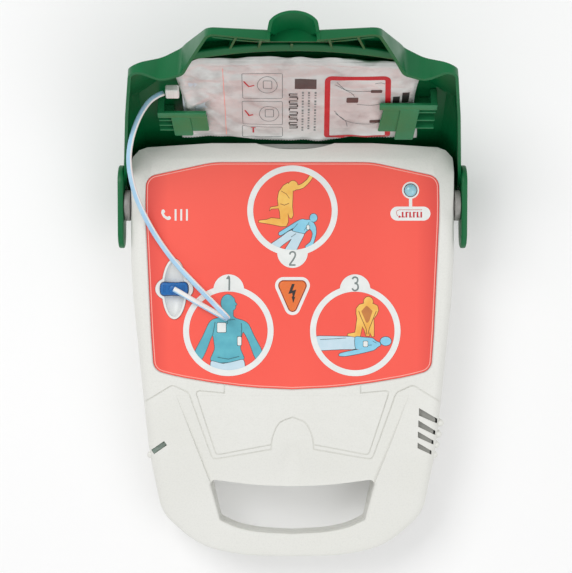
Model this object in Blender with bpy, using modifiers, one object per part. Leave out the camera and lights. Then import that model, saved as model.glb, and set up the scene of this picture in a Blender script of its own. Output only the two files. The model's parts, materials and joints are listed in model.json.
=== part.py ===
"""Automated external defibrillator with its lid open, built as an assembly of separate parts.

Sizes are in millimetres and are turned into metres as each mesh is made; +Z is up. The device lies on
its back: the handle points to -Y and the lid's hinge axis runs along X near the +Y end. X and Y are
measured from the hinge axis, on the device's centre line, and Z from the surface that it lies on. Base
parts hang on the empty "device". Lid parts are modelled closed and hang on the empty "lid_pivot".
"""

import math

import bmesh
import bpy
from mathutils import Matrix, Vector

MM = 0.001

# ---------------------------------------------------------------- driving dimensions
HINGE_Y = 72.2           # hinge axis, measured along Y from the middle of the whole object
HINGE_Z = 51.0
LID_OPEN_DEG = 120.0     # lid angle between closed and resting open
GAP = 0.3                # clearance between touching parts

BASE_BOTTOM = 1.5        # underside of the lower housing, above the feet's contact plane
SPLIT_Z = 36.0           # parting plane of the two housings
SPLIT_GAP = 1.6
RIM_Z = 64.0             # raised border round the instruction panel
WALL = 4.0               # side walls of the housings
ROOF = 4.0
FLOOR = 3.4
TOP_ROUND = 8.0
BOTTOM_ROUND = 5.0
SLOPE_START = -139.0     # the top starts to fall towards the handle here
SLOPE_LENGTH = 120.0
SLOPE_DROP = 17.0
UNDERSIDE_START = -188.0
UNDERSIDE_LENGTH = 75.0
UNDERSIDE_RISE = 21.0
END_REBATE_Y = -14.0     # the lid's rear wall swings in under the base up to here

PANEL_FLOOR = 62.2       # pocket for the panel overlay
PANEL_THICK = 0.9

LID_THICK = 2.2
LID_TOP = 100.5
LID_RIM = 65.0
LID_SLOPE_START = -122.0
TONGUE_END = -188.5
TONGUE_END_Z = 67.2      # outer surface at the tip of the front tongue
HOOD_TOP = 80.0          # crest of the finger hood over the tongue
HOOD_SPRING = 64.5
HOOD_HALF_WIDTH = 17.5

SOCKET = (-87.5, -62.5)
SOCKET_TOP = 64.8
SOCKET_FLOOR = 58.6
PLUG_TOP = 67.5
SHOCK_BUTTON = (0.0, -67.0)
REPEAT_BUTTON = (87.5, 10.6)
REPEAT_RADIUS = 4.6
BUTTON_TOP = 64.6
BUTTON_BOTTOM = 58.6
BUTTON_CLEARANCE = 0.45
SWITCH_TOP = 56.7
BOARD_THICK = 1.6
FRONT_BOARD_Z = 53.0
MAIN_BOARD_Z = 9.0

BOSS_RADIUS = 11.5
BOSS_INNER = 120.8
BOSS_OUTER = 125.2
SPIGOT_RADIUS = 6.5
PIN_RADIUS = 4.0
EAR_INNER = 125.5
EAR_OUTER = 129.6
EAR_TAIL = (10.0, -17.3, 12.0)      # y, z from the hinge axis and radius, with the lid closed
EAR_ROOT = (-8.0, 13.9, 14.0)

BATTERY_X = 54.0
BATTERY_Y = (-188.0, -122.0)
BATTERY_TOP = 33.0
CONTACTS_X = (-8.0, 0.0, 8.0)
CONTACTS_Y = -146.0

POUCH_X = (-87.0, 94.5)
POUCH_Y = (-130.0, -33.0)
POUCH_Z = (86.4, 94.9)
PAD_X = ((-80.0, -2.0), (6.0, 88.0))

SCREWS = [(-104, -26), (104, -26), (-107, -112), (107, -112), (-92, -191), (92, -191)]
FEET = [(-84, -34), (84, -34), (-84, -176), (84, -176)]
MAIN_POSTS = [(-88, -104), (88, -104), (-88, -28), (88, -28)]
FRONT_POSTS = [(-60, -92), (90, -92), (-60, 12), (90, -12)]

# Right half of each symmetric outline, as (x, y, corner radius), from the hinge end to the handle end.
BODY_HALF = [(0, 46.5, 0), (58, 46.5, 60), (118.6, 43.5, 13), (120.5, 25, 80), (120, -56, 300),
             (106.5, -187, 150), (98, -231, 30), (70, -256.5, 60), (35, -263.3, 120), (0, -263.8, 0)]
HAND_GAP_HALF = [(0, -210.4, 0), (28, -209.4, 120), (62.5, -204.8, 3.5), (54.3, -236.2, 3.5),
                 (42, -241.8, 40), (27, -245.2, 90), (0, -246.6, 0)]
PANEL_HALF = [(0, 31.2, 0), (58.7, 31.2, 60), (108.4, 20.4, 9), (108.8, -5, 200), (104.6, -95, 200),
              (102.6, -122.6, 9), (85, -127.3, 100), (60, -131.6, 120), (32, -135.3, 150), (0, -136.7, 0)]
LID_HALF = [(0, 12, 0), (126, 12, 0), (126, -12, 60), (117.8, -92, 120), (110.5, -148, 8),
            (89.5, -134.6, 8), (76, -140.5, 7), (56, TONGUE_END, 7), (16, -181, 0), (0, -181, 0)]
SHOULDER = [(109.6, -148, 68), (89.5, -134.6, 83.8), (76, -140.5, 87.5)]   # facet over the lid's right corner

# Half section of the lid across X, as (x, distance above the hinge axis), from the side to the middle.
LID_SECTION = [(126, 0), (126, 27), (124.5, 35), (121.5, 42), (117, 47), (112, 49.5), (0, 49.5)]
LID_SECTION_INSIDE = [(123.8, 0), (123.8, 27), (122.4, 34.2), (119.6, 40.5), (115.6, 45), (111, 47.3), (0, 47.3)]
BASE_END_SECTION = [(120.6, 0), (120.5, 29), (119, 36), (114, 41.3), (108, 43.6), (60, 46.5), (0, 46.5)]
CAVITY_END_SECTION = [(116.4, 0), (116.4, 25), (113, 35), (105, 40.2), (58, 43.2), (0, 43.2)]

# The electrode lead, from the pouch's neck to the plug, as (x, y, z).
LEAD_ROUTE = [(-91.2, 76.2, 114.6), (-95.8, 74.2, 115.5), (-102, 69.4, 115.6), (-109, 59.4, 112),
              (-115.2, 45.4, 102.6), (-118, 31, 93.6), (-117, 16.6, 85), (-113.2, 2, 76.5), (-104.9, -16.1, 70.5),
              (-95, -32, 66.8), (-84, -46, 67.5), (-71.8, -58.8, 70), (-62.6, -68, 76),
              (-54.6, -76, 81.5), (-49.4, -81.4, 80), (-47.6, -84, 74.4), (-50.6, -83.4, 68.6),
              (-57.4, -79.8, 66.4), (-66, -75, 66.8), (-74, -70.4, 68.7), (-81, -66.2, 69.9),
              (-87.5, -62.5, 70)]
LEAD_DIAMETER = 4.0

COLOURS = {      # colour, roughness and metallic value
    "housing": ((0.74, 0.74, 0.71), 0.45, 0.0),
    "panel": ((0.88, 0.09, 0.06), 0.35, 0.0),
    "lid": ((0.0, 0.25, 0.10), 0.35, 0.0),
    "boss": ((0.50, 0.50, 0.48), 0.4, 0.0),
    "steel": ((0.6, 0.6, 0.62), 0.3, 1.0),
    "brass": ((0.8, 0.6, 0.25), 0.3, 1.0),
    "rubber": ((0.05, 0.05, 0.05), 0.8, 0.0),
    "board": ((0.02, 0.16, 0.06), 0.5, 0.0),
    "black": ((0.03, 0.03, 0.03), 0.5, 0.0),
    "orange": ((0.95, 0.26, 0.03), 0.4, 0.0),
    "light_blue": ((0.30, 0.68, 0.80), 0.3, 0.0),
    "blue": ((0.0, 0.14, 0.45), 0.35, 0.0),
    "foil": ((0.78, 0.77, 0.75), 0.35, 0.0),
    "gel": ((0.85, 0.88, 0.90), 0.4, 0.0),
    "white": ((0.86, 0.86, 0.86), 0.4, 0.0),
    "clear": ((0.75, 0.80, 0.78), 0.1, 0.0),
    "battery": ((0.10, 0.11, 0.12), 0.5, 0.0),
}


# ---------------------------------------------------------------- scene, materials and parents
def clear_scene():
    for old in list(bpy.data.objects):
        bpy.data.objects.remove(old)


def make_material(name):
    colour, roughness, metallic = COLOURS[name]
    material = bpy.data.materials.new(name)
    material.use_nodes = True
    shader = material.node_tree.nodes["Principled BSDF"]
    shader.inputs["Base Color"].default_value = (*colour, 1.0)
    shader.inputs["Roughness"].default_value = roughness
    shader.inputs["Metallic"].default_value = metallic
    return material


def make_empty(name, location, parent=None):
    empty = bpy.data.objects.new(name, None)
    empty.location = Vector(location) * MM
    empty.parent = parent
    PARTS.objects.link(empty)
    return empty


clear_scene()
PARTS = bpy.data.collections.new("defibrillator")
bpy.context.scene.collection.children.link(PARTS)
MATERIALS = {name: make_material(name) for name in COLOURS}
DEVICE = make_empty("device", (0, HINGE_Y, 0))
LID_PIVOT = make_empty("lid_pivot", (0, 0, HINGE_Z), DEVICE)
LID_PIVOT.rotation_euler = (math.radians(-LID_OPEN_DEG), 0, 0)
SHOCK_GUIDE = make_empty("shock_button_guide", (*SHOCK_BUTTON, BUTTON_TOP), DEVICE)
REPEAT_GUIDE = make_empty("repeat_button_guide", (*REPEAT_BUTTON, BUTTON_TOP), DEVICE)
BATTERY_GUIDE = make_empty("battery_guide", (0, sum(BATTERY_Y) / 2, 0), DEVICE)


def finish(obj, name, material, holder=DEVICE):
    """Names the part, gives it its material and hangs it on the empty that carries it."""
    obj.name = name
    obj.data.name = name
    obj.data.materials.clear()
    obj.data.materials.append(MATERIALS[material])
    obj.data.shade_smooth()
    obj.data.set_sharp_from_angle(angle=math.radians(35))
    obj.parent = holder
    if holder is not DEVICE:
        obj.location = -holder.location
    return obj


# ---------------------------------------------------------------- mesh helpers
def from_bmesh(bm):
    bm.normal_update()
    bmesh.ops.recalc_face_normals(bm, faces=bm.faces)
    mesh = bpy.data.meshes.new("shape")
    bm.to_mesh(mesh)
    bm.free()
    obj = bpy.data.objects.new("shape", mesh)
    PARTS.objects.link(obj)
    return obj


def bake(obj):
    """Replaces the object by a mesh object with its modifiers applied and its loose caps welded."""
    graph = bpy.context.evaluated_depsgraph_get()
    mesh = bpy.data.meshes.new_from_object(obj.evaluated_get(graph))
    bpy.data.objects.remove(obj)
    bm = bmesh.new()
    bm.from_mesh(mesh)
    bmesh.ops.remove_doubles(bm, verts=bm.verts, dist=1e-6)
    return from_bmesh(bm)


def combine(target, tool, operation):
    modifier = target.modifiers.new(operation, "BOOLEAN")
    modifier.operation = operation
    modifier.object = tool
    modifier.solver = "EXACT"
    target = bake(target)
    bpy.data.objects.remove(tool)
    return target


def cut(target, *tools):
    for tool in tools:
        target = combine(target, tool, "DIFFERENCE")
    return target


def join(target, *tools):
    for tool in tools:
        target = combine(target, tool, "UNION")
    return target


def common(target, tool):
    return combine(target, tool, "INTERSECT")


def bevel(obj, width, segments=3, angle=60):
    modifier = obj.modifiers.new("bevel", "BEVEL")
    modifier.width = width * MM
    modifier.segments = segments
    modifier.limit_method = "ANGLE"
    modifier.angle_limit = math.radians(angle)
    return bake(obj)


def moved(obj, shift, turn=0.0):
    """Turns the mesh about Z and shifts it."""
    obj.data.transform(Matrix.Translation(Vector(shift) * MM) @ Matrix.Rotation(math.radians(turn), 4, "Z"))
    return obj


def box(low, high):
    bm = bmesh.new()
    bmesh.ops.create_cube(bm, size=1)
    low, high = Vector(low) * MM, Vector(high) * MM
    bm.transform(Matrix.Translation((low + high) / 2) @ Matrix.Diagonal(high - low).to_4x4())
    return from_bmesh(bm)


AXIS_TURNS = {"Z": Matrix.Identity(4), "X": Matrix.Rotation(math.pi / 2, 4, "Y"),
              "Y": Matrix.Rotation(-math.pi / 2, 4, "X")}


def cylinder(centre, radius, length, axis="Z", segments=20):
    bm = bmesh.new()
    bmesh.ops.create_cone(bm, cap_ends=True, segments=segments, radius1=radius * MM,
                          radius2=radius * MM, depth=length * MM)
    bm.transform(Matrix.Translation(Vector(centre) * MM) @ AXIS_TURNS[axis])
    return from_bmesh(bm)


def turned(profile, segments=64):
    """A body of revolution about the hinge axis, from (x, radius) points on one side of the axis.

    The profile either ends on the axis or is a closed loop, which makes a ring.
    """
    bm = bmesh.new()
    verts = [bm.verts.new((radius * MM, 0, x * MM)) for x, radius in profile]
    following = verts[1:] if profile[0][1] == 0 else verts[1:] + verts[:1]
    for a, b in zip(verts, following):
        bm.edges.new((a, b))
    obj = from_bmesh(bm)
    screw = obj.modifiers.new("screw", "SCREW")
    screw.steps = screw.render_steps = segments
    screw.use_merge_vertices = True
    screw.merge_threshold = 1e-6
    obj = bake(obj)
    obj.data.transform(Matrix.Translation((0, 0, HINGE_Z * MM)) @ AXIS_TURNS["X"])
    return obj


def turned_end(half_section):
    """The whole body of revolution whose right half section is given from its side to its middle."""
    right = half_section[:-1]
    return turned([(x, r) for x, r in right] + [(-x, r) for x, r in reversed(right)], 52)


# ---------------------------------------------------------------- outlines
def rounded(corners):
    """The closed outline through (x, y, radius) corners, with an arc where a corner has a radius."""
    points = []
    for i, (x, y, radius) in enumerate(corners):
        here = Vector((x, y))
        before = Vector(corners[i - 1][:2]) - here
        after = Vector(corners[(i + 1) % len(corners)][:2]) - here
        half = before.angle(after) / 2
        if radius <= 0:
            points.append(here)
            continue
        reach = min(radius / math.tan(half), 0.48 * before.length, 0.48 * after.length)
        start, end = here + before.normalized() * reach, here + after.normalized() * reach
        middle = here + (before.normalized() + after.normalized()).normalized() * (reach / math.cos(half))
        sweep = (start - middle).angle_signed(end - middle)
        count = max(1, math.ceil(abs(math.degrees(sweep)) / 15))
        points += [middle + Matrix.Rotation(-sweep * k / count, 2) @ (start - middle) for k in range(count + 1)]
    area = sum(a.x * b.y - a.y * b.x for a, b in zip(points, points[1:] + points[:1]))
    return points if area > 0 else points[::-1]


def mirrored(half):
    """The whole outline of a shape that is symmetric in X, from its right half."""
    return rounded(half + [(-x, y, radius) for x, y, radius in reversed(half) if x > 0])


def inset(points, distance):
    """A counterclockwise outline moved inwards by a distance, or outwards if it is negative."""
    result = []
    for i, here in enumerate(points):
        before = (here - points[i - 1]).normalized()
        after = (points[(i + 1) % len(points)] - here).normalized()
        normal = Vector((-before.y - after.y, before.x + after.x)).normalized()
        stretch = max(0.5, normal.dot(Vector((-before.y, before.x))))
        result.append(here + normal * distance / stretch)
    return result


PLANES = {"XY": Matrix.Identity(4),
          "YZ": Matrix(((0, 0, 1, 0), (1, 0, 0, 0), (0, 1, 0, 0), (0, 0, 0, 1))),
          "XZ": Matrix(((1, 0, 0, 0), (0, 0, -1, 0), (0, 1, 0, 0), (0, 0, 0, 1)))}


def plate(points, low, high, plane="XY"):
    """The outline as a solid between two distances from its plane (Z for XY, X for YZ, -Y for XZ)."""
    curve = bpy.data.curves.new("outline", "CURVE")
    curve.dimensions = "2D"
    curve.fill_mode = "BOTH"
    curve.extrude = (high - low) / 2 * MM
    spline = curve.splines.new("POLY")
    spline.points.add(len(points) - 1)
    for spot, point in zip(spline.points, points):
        spot.co = (point[0] * MM, point[1] * MM, 0, 1)
    spline.use_cyclic_u = True
    holder = bpy.data.objects.new("outline", curve)
    PARTS.objects.link(holder)
    obj = bake(holder)
    bm = bmesh.new()
    bm.from_mesh(obj.data)
    bmesh.ops.dissolve_limit(bm, angle_limit=0.001, verts=bm.verts, edges=bm.edges)
    bm.to_mesh(obj.data)
    bm.free()
    obj.data.transform(PLANES[plane] @ Matrix.Translation((0, 0, (low + high) / 2 * MM)))
    return obj


def ellipse(centre, half_x, half_y, count=20):
    turns = [2 * math.pi * k / count for k in range(count)]
    return [Vector((centre[0] + half_x * math.cos(a), centre[1] + half_y * math.sin(a))) for a in turns]


def capsule(first, second, count=10):
    """The outline round two circles, each (x, y, radius)."""
    heading = math.atan2(second[1] - first[1], second[0] - first[0])
    points = []
    for (x, y, radius), start in ((second, heading - math.pi / 2), (first, heading + math.pi / 2)):
        for k in range(count + 1):
            a = start + math.pi * k / count
            points.append(Vector((x + radius * math.cos(a), y + radius * math.sin(a))))
    return points


# ---------------------------------------------------------------- sloped surfaces
def smoothstep(t):
    t = max(0.0, min(1.0, t))
    return t * t * (3 - 2 * t)


def top_drop(y):
    return SLOPE_DROP * smoothstep((SLOPE_START - y) / SLOPE_LENGTH)


def warp(obj, first, last, step, height):
    """Slices the body across Y between two places and moves each vertex to height(y, z)."""
    bm = bmesh.new()
    bm.from_mesh(obj.data)
    for k in range(math.floor((first - last) / step) + 1):
        bmesh.ops.bisect_plane(bm, geom=bm.verts[:] + bm.edges[:] + bm.faces[:], dist=1e-6,
                               plane_co=(0, (first - k * step) * MM, 0), plane_no=(0, 1, 0))
    bmesh.ops.triangulate(bm, faces=bm.faces)
    for vert in bm.verts:
        vert.co.z = height(vert.co.y / MM, vert.co.z / MM) * MM
    bm.to_mesh(obj.data)
    bm.free()
    return obj


def base_height(y, z):
    """Lowers the top and raises the underside towards the handle; the edges at the parting plane stay."""
    upper_edge, lower_edge = SPLIT_Z + SPLIT_GAP / 2, SPLIT_Z - SPLIT_GAP / 2
    rise = UNDERSIDE_RISE * smoothstep((UNDERSIDE_START - y) / UNDERSIDE_LENGTH)
    z -= top_drop(y) * max(0, z - upper_edge) / (RIM_Z - upper_edge)
    return z + rise * max(0, lower_edge - z) / (lower_edge - BASE_BOTTOM)


def lid_height(thickness):
    """How the lid's outer (0) or inner (its thickness) form comes down towards the tongue's tip."""
    rim, top = LID_RIM - 5, LID_TOP - thickness
    steepness = (LID_TOP - TONGUE_END_Z) / (LID_SLOPE_START - TONGUE_END)

    def height(y, z):
        if z <= rim or y >= LID_SLOPE_START:
            return z
        foot = rim - top_drop(y)
        crest = LID_TOP - steepness * (LID_SLOPE_START - y) - thickness * math.hypot(1, steepness)
        return foot + (z - rim) * (crest - foot) / (top - rim)

    return height


# ---------------------------------------------------------------- base housings
BODY = mirrored(BODY_HALF)
HAND_GAP = mirrored(HAND_GAP_HALF)
PANEL = mirrored(PANEL_HALF)


def base_blank(low, high, round_off):
    """The whole base outline with its hand gap and rounded edges."""
    blank = cut(plate(BODY, low, high), plate(HAND_GAP, low - 5, high + 5))
    return bevel(blank, round_off, 2)


def base_cavity(low, high, round_off):
    """The hollow inside a blank, which also runs round the hand gap."""
    hollow = cut(plate(inset(BODY, WALL), low, high), plate(inset(HAND_GAP, -3.4), low - 5, high + 5))
    hollow = bevel(hollow, round_off, 1)
    limit = join(turned_end(CAVITY_END_SECTION), box((-130, -280, -5), (130, END_REBATE_Y - 4, 90)),
                 box((-130, -280, HINGE_Z), (130, 0, 90)))
    return common(hollow, limit)


def outside_rounded_end():
    """Everything beyond the base's end, which is rounded about the hinge axis to clear the lid."""
    block = join(box((-140, END_REBATE_Y, -20), (140, 90, HINGE_Z)), box((-140, 0, HINGE_Z - 5), (140, 90, 130)))
    return cut(block, turned_end(BASE_END_SECTION))


def socket_shape(grow, low, high):
    """The tall oval and the wide oval of the electrode socket, as one body."""
    tall = plate(ellipse(SOCKET, 9.2 + grow, 22.4 + grow), low, high)
    return join(tall, plate(ellipse(SOCKET, 14 + grow, 9.4 + grow), low, high))


def shock_shape(grow, low, high):
    triangle = rounded([(-11.8, 10.4, 3.4), (11.8, 10.4, 3.4), (0, -16.4, 3)])
    return moved(plate(inset(triangle, -grow), low, high), (*SHOCK_BUTTON, 0))


def repeat_shape(grow, low, high):
    return cylinder((*REPEAT_BUTTON, (low + high) / 2), REPEAT_RADIUS + grow, high - low)


def slanted_bar(centre, length, width, angle, low, high):
    return moved(box((-length / 2, -width / 2, low), (length / 2, width / 2, high)), (*centre, 0), angle)


# Left and right x, then the two ends' high and low y, of each slot over the speaker.
SPEAKER_SLOTS = [(93.7, 107.7, (-150.7, -156.4), (-159.0, -162.6)), (93.3, 106.3, (-159.9, -164.8), (-168.0, -171.2)),
                 (93.1, 105.0, (-168.3, -172.8), (-175.4, -178.4)), (93.0, 103.6, (-176.7, -180.9), (-183.1, -186.0))]
SLOT_WIDTH = 3.8
SLOT_ANGLE = -35
STATUS_SLOT = (-99.2, -180.5)
STATUS_LENGTH = 12.0


def make_upper_housing():
    shell = cut(base_blank(0, RIM_Z, TOP_ROUND), base_cavity(-6, RIM_Z - ROOF, TOP_ROUND - 2))
    shell = cut(shell, box((-150, -300, -10), (150, 100, SPLIT_Z + SPLIT_GAP / 2)))
    for x, y in SCREWS:
        shell = join(shell, cylinder((x, y, 49.5), 4, 25, segments=8))
    for x, y in FRONT_POSTS:
        shell = join(shell, cylinder((x, y, 58), 3, 6.2, segments=8))
    shell = cut(shell, plate(inset(PANEL, -GAP), PANEL_FLOOR, 70))
    shell = cut(shell, socket_shape(GAP, 50, 70), shock_shape(BUTTON_CLEARANCE, 50, 70),
                repeat_shape(BUTTON_CLEARANCE, 50, 70))
    shell = cut(shell, plate(ellipse((2, 61.5), 45, 20.5, 32), 47, 80), outside_rounded_end())
    for left, right, (a, b), (c, d) in SPEAKER_SLOTS:
        shell = cut(shell, plate([Vector(p) for p in ((left, b), (right, d), (right, c), (left, a))], 50, 70))
    shell = cut(shell, slanted_bar(STATUS_SLOT, STATUS_LENGTH, SLOT_WIDTH, -SLOT_ANGLE, 46, 70))
    for x, y in SCREWS:
        shell = cut(shell, cylinder((x, y, 44), 1.9, 18, segments=8))
    for x, y in FRONT_POSTS:
        shell = cut(shell, cylinder((x, y, 55), 1.5, 8, segments=8))
    for side in (-1, 1):
        shell = cut(shell, cylinder((side * 118, 0, HINGE_Z), SPIGOT_RADIUS + GAP, 16, "X"))
    shell = warp(shell, SLOPE_START, -259, 20, base_height)
    return finish(shell, "upper_housing", "housing")


def make_lower_housing():
    shell = cut(base_blank(BASE_BOTTOM, 60, BOTTOM_ROUND), base_cavity(BASE_BOTTOM + FLOOR, 70, 3.5))
    shell = cut(shell, box((-150, -300, SPLIT_Z - SPLIT_GAP / 2), (150, 100, 100)))
    bay_low, bay_high = BATTERY_Y
    shell = join(shell, box((-BATTERY_X - 3.4, bay_low - 3.4, 3), (BATTERY_X + 3.4, bay_high + 3.4, BATTERY_TOP + 2.4)))
    for x, y in SCREWS:
        shell = join(shell, cylinder((x, y, 18.8), 4.8, 32.6, segments=8))
    for x, y in MAIN_POSTS:
        shell = join(shell, cylinder((x, y, 6.3), 3, MAIN_BOARD_Z - GAP - 3.9, segments=8))
    shell = cut(shell, outside_rounded_end())
    shell = cut(shell, box((-BATTERY_X - 0.4, bay_low - 0.4, -5), (BATTERY_X + 0.4, bay_high + 0.4, BATTERY_TOP + 0.4)))
    shell = cut(shell, box((-11, CONTACTS_Y - 5, 30), (11, CONTACTS_Y + 5, 40)))
    for x, y in SCREWS:
        shell = cut(shell, cylinder((x, y, 20), 1.9, 60, segments=8), cylinder((x, y, 2), 3.7, 20, segments=10))
    for x, y in MAIN_POSTS:
        shell = cut(shell, cylinder((x, y, 9), 1.5, 7, segments=8))
    for x, y in FEET:
        shell = cut(shell, cylinder((x, y, 0), 8.4, 5.4, segments=16))
    shell = warp(shell, UNDERSIDE_START, -262, 18, base_height)
    return finish(shell, "lower_housing", "housing")


def make_gasket():
    """A ring in the parting gap. The rounded end stands back a little at this height."""
    depth = HINGE_Z - SPLIT_Z
    line = [Vector((p.x, math.sqrt(p.y ** 2 - depth ** 2))) if p.y > 20 else p for p in BODY]
    half = (SPLIT_GAP - 2 * GAP) / 2
    ring = cut(plate(inset(line, 0.9), SPLIT_Z - half, SPLIT_Z + half), plate(inset(line, 2.9), 30, 40))
    return finish(ring, "housing_gasket", "rubber")


def make_panel_overlay():
    low, high = PANEL_FLOOR + GAP, PANEL_FLOOR + GAP + PANEL_THICK
    sheet = cut(plate(PANEL, low, high), socket_shape(GAP, 50, 70), shock_shape(BUTTON_CLEARANCE, 50, 70),
                repeat_shape(BUTTON_CLEARANCE, 50, 70))
    return finish(sheet, "panel_overlay", "panel")


def make_feet():
    for number, (x, y) in enumerate(FEET, 1):
        foot = bevel(cylinder((x, y, 1.2), 8, 2.4, segments=16), 0.6, 1)
        finish(foot, f"rubber_foot_{number}", "rubber")


# ---------------------------------------------------------------- hinge
def make_hinge():
    bore, edge = PIN_RADIUS + GAP, 0.8
    boss = [(113, bore), (113, SPIGOT_RADIUS), (BOSS_INNER, SPIGOT_RADIUS), (BOSS_INNER, BOSS_RADIUS - edge),
            (BOSS_INNER + edge, BOSS_RADIUS), (BOSS_OUTER - edge, BOSS_RADIUS),
            (BOSS_OUTER, BOSS_RADIUS - edge), (BOSS_OUTER, bore)]
    pin = [(110.4, 0), (110.4, 6), (112.7, 6), (112.7, PIN_RADIUS), (127.6, PIN_RADIUS), (127.6, 0)]
    for side, name in ((-1, "left"), (1, "right")):
        finish(turned([(side * x, r) for x, r in boss], 24), f"hinge_boss_{name}", "boss")
        finish(turned([(side * x, r) for x, r in pin], 20), f"hinge_pin_{name}", "steel")


# ---------------------------------------------------------------- electronics
def make_socket():
    cup = cut(socket_shape(0, 55.5, SOCKET_TOP), socket_shape(-1.6, SOCKET_FLOOR, 70))
    for x in (-4, 4):
        cup = cut(cup, cylinder((SOCKET[0] + x, SOCKET[1], 57), 1.7, 8, segments=10))
    finish(cup, "electrode_socket", "white")
    block = box((SOCKET[0] - 8, SOCKET[1] - 5, 47), (SOCKET[0] + 8, SOCKET[1] + 5, 55.2))
    for x in (-4, 4):
        block = cut(block, cylinder((SOCKET[0] + x, SOCKET[1], 54), 1.7, 9, segments=10))
    finish(block, "socket_contacts", "black")


def make_boards():
    front = box((-66, -98, FRONT_BOARD_Z), (97, 19, FRONT_BOARD_Z + BOARD_THICK))
    for x, y in FRONT_POSTS:
        front = cut(front, cylinder((x, y, FRONT_BOARD_Z), 1.5, 10, segments=8))
    finish(front, "front_circuit_board", "board")
    main = box((-95, -111, MAIN_BOARD_Z), (95, -21, MAIN_BOARD_Z + BOARD_THICK))
    for x, y in MAIN_POSTS:
        main = cut(main, cylinder((x, y, MAIN_BOARD_Z), 1.5, 10, segments=8))
    finish(main, "main_circuit_board", "board")


def make_switches():
    low = FRONT_BOARD_Z + BOARD_THICK + GAP
    for name, (x, y) in (("shock_switch", SHOCK_BUTTON), ("repeat_switch", REPEAT_BUTTON)):
        switch = box((x - 3.2, y - 3.2, low), (x + 3.2, y + 3.2, SWITCH_TOP - 0.6))
        finish(join(switch, cylinder((x, y, SWITCH_TOP - 1), 1.7, 2, segments=12)), name, "black")


def make_power_parts():
    can = bevel(cylinder((-46, -72, 30.5), 17, 66, "X", 28), 1.5, 2)
    finish(can, "energy_capacitor", "black")
    block = MAIN_BOARD_Z + BOARD_THICK + GAP
    core = join(bevel(box((12, -100, block), (56, -56, 44)), 1, 1), box((18, -106, 18), (50, -50, 38)))
    finish(core, "charging_transformer", "brass")
    finish(bevel(box((64, -100, block), (84, -64, 30)), 1, 1), "discharge_relay", "white")


def make_sound_and_light():
    x, y = 84, -165
    cone = join(cylinder((x, y, 50), 14, 6, segments=28), cylinder((x, y, 44), 8, 8, segments=20))
    finish(cone, "speaker", "black")
    pipe = slanted_bar(STATUS_SLOT, STATUS_LENGTH - 2 * GAP, SLOT_WIDTH - 2 * GAP, -SLOT_ANGLE, 47, 57.2)
    finish(pipe, "status_light_pipe", "clear")
    finish(box((-34, -88, FRONT_BOARD_Z - 5.3), (-26, -80, FRONT_BOARD_Z - GAP)), "lid_sensor", "black")


def make_ribbon():
    """A flat ribbon from the main board, up behind it and over to the front board."""
    low, high = MAIN_BOARD_Z + BOARD_THICK + GAP, FRONT_BOARD_Z - GAP
    line = [(-32, low), (-24, low), (-24, high - 1.2), (-16, high - 1.2), (-16, high), (-25.2, high),
            (-25.2, low + 1.2), (-32, low + 1.2)]
    finish(plate([Vector(p) for p in line], 20, 60, "YZ"), "ribbon_cable", "gel")


def make_contacts():
    roof = BATTERY_TOP + 2.4 + GAP
    block = box((-14, CONTACTS_Y - 8, roof), (14, CONTACTS_Y + 8, roof + 5))
    for x in CONTACTS_X:
        block = join(block, box((x - 0.7, CONTACTS_Y - 3, 27), (x + 0.7, CONTACTS_Y + 3, roof + 1)))
    finish(block, "battery_contacts", "brass")


def screw_shape(x, y, under_head, tip, head_radius, shank_radius):
    """A cylinder-head screw whose head rests at one height and whose tip is at another."""
    way = 1 if tip > under_head else -1
    head = cylinder((x, y, under_head - way * 1.2), head_radius, 2.4, segments=12)
    middle = (under_head - way * 0.5 + tip) / 2
    return join(head, cylinder((x, y, middle), shank_radius, abs(tip - under_head) + 0.5, segments=8))


def make_screws():
    above = MAIN_BOARD_Z + BOARD_THICK + GAP
    below = FRONT_BOARD_Z - GAP
    for name, places, seat, tip, head_radius, shank_radius in (
            ("housing_screw", SCREWS, 12 - GAP, 46, 3.2, 1.45),
            ("main_board_screw", MAIN_POSTS, above, 6.4, 2.4, 1.1),
            ("front_board_screw", FRONT_POSTS, below, 57.6, 2.4, 1.1)):
        for number, (x, y) in enumerate(places, 1):
            screw = screw_shape(x, y, seat, tip, head_radius, shank_radius)
            finish(screw, f"{name}_{number}", "steel")


# ---------------------------------------------------------------- buttons and battery
def make_buttons():
    face = bevel(shock_shape(0, BUTTON_BOTTOM + 0.5, BUTTON_TOP), 0.7, 2)
    shock = join(face, shock_shape(1.8, BUTTON_BOTTOM, BUTTON_BOTTOM + 1))
    finish(shock, "shock_button", "orange", SHOCK_GUIDE)
    cap = bevel(repeat_shape(0, BUTTON_BOTTOM + 0.5, BUTTON_TOP + 1), 1, 2)
    repeat = join(cap, repeat_shape(1.6, BUTTON_BOTTOM, BUTTON_BOTTOM + 1))
    finish(repeat, "repeat_button", "light_blue", REPEAT_GUIDE)


def make_battery():
    low, high = BATTERY_Y
    pack = bevel(box((-BATTERY_X, low, BASE_BOTTOM + GAP), (BATTERY_X, high, BATTERY_TOP)), 1.2, 2)
    pack = cut(pack, cylinder((0, high, BASE_BOTTOM), 7, 40, "X"))
    for x in CONTACTS_X:
        pack = cut(pack, box((x - 1.1, CONTACTS_Y - 3.5, 26), (x + 1.1, CONTACTS_Y + 3.5, 40)))
    finish(pack, "battery_pack", "battery", BATTERY_GUIDE)


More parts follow.
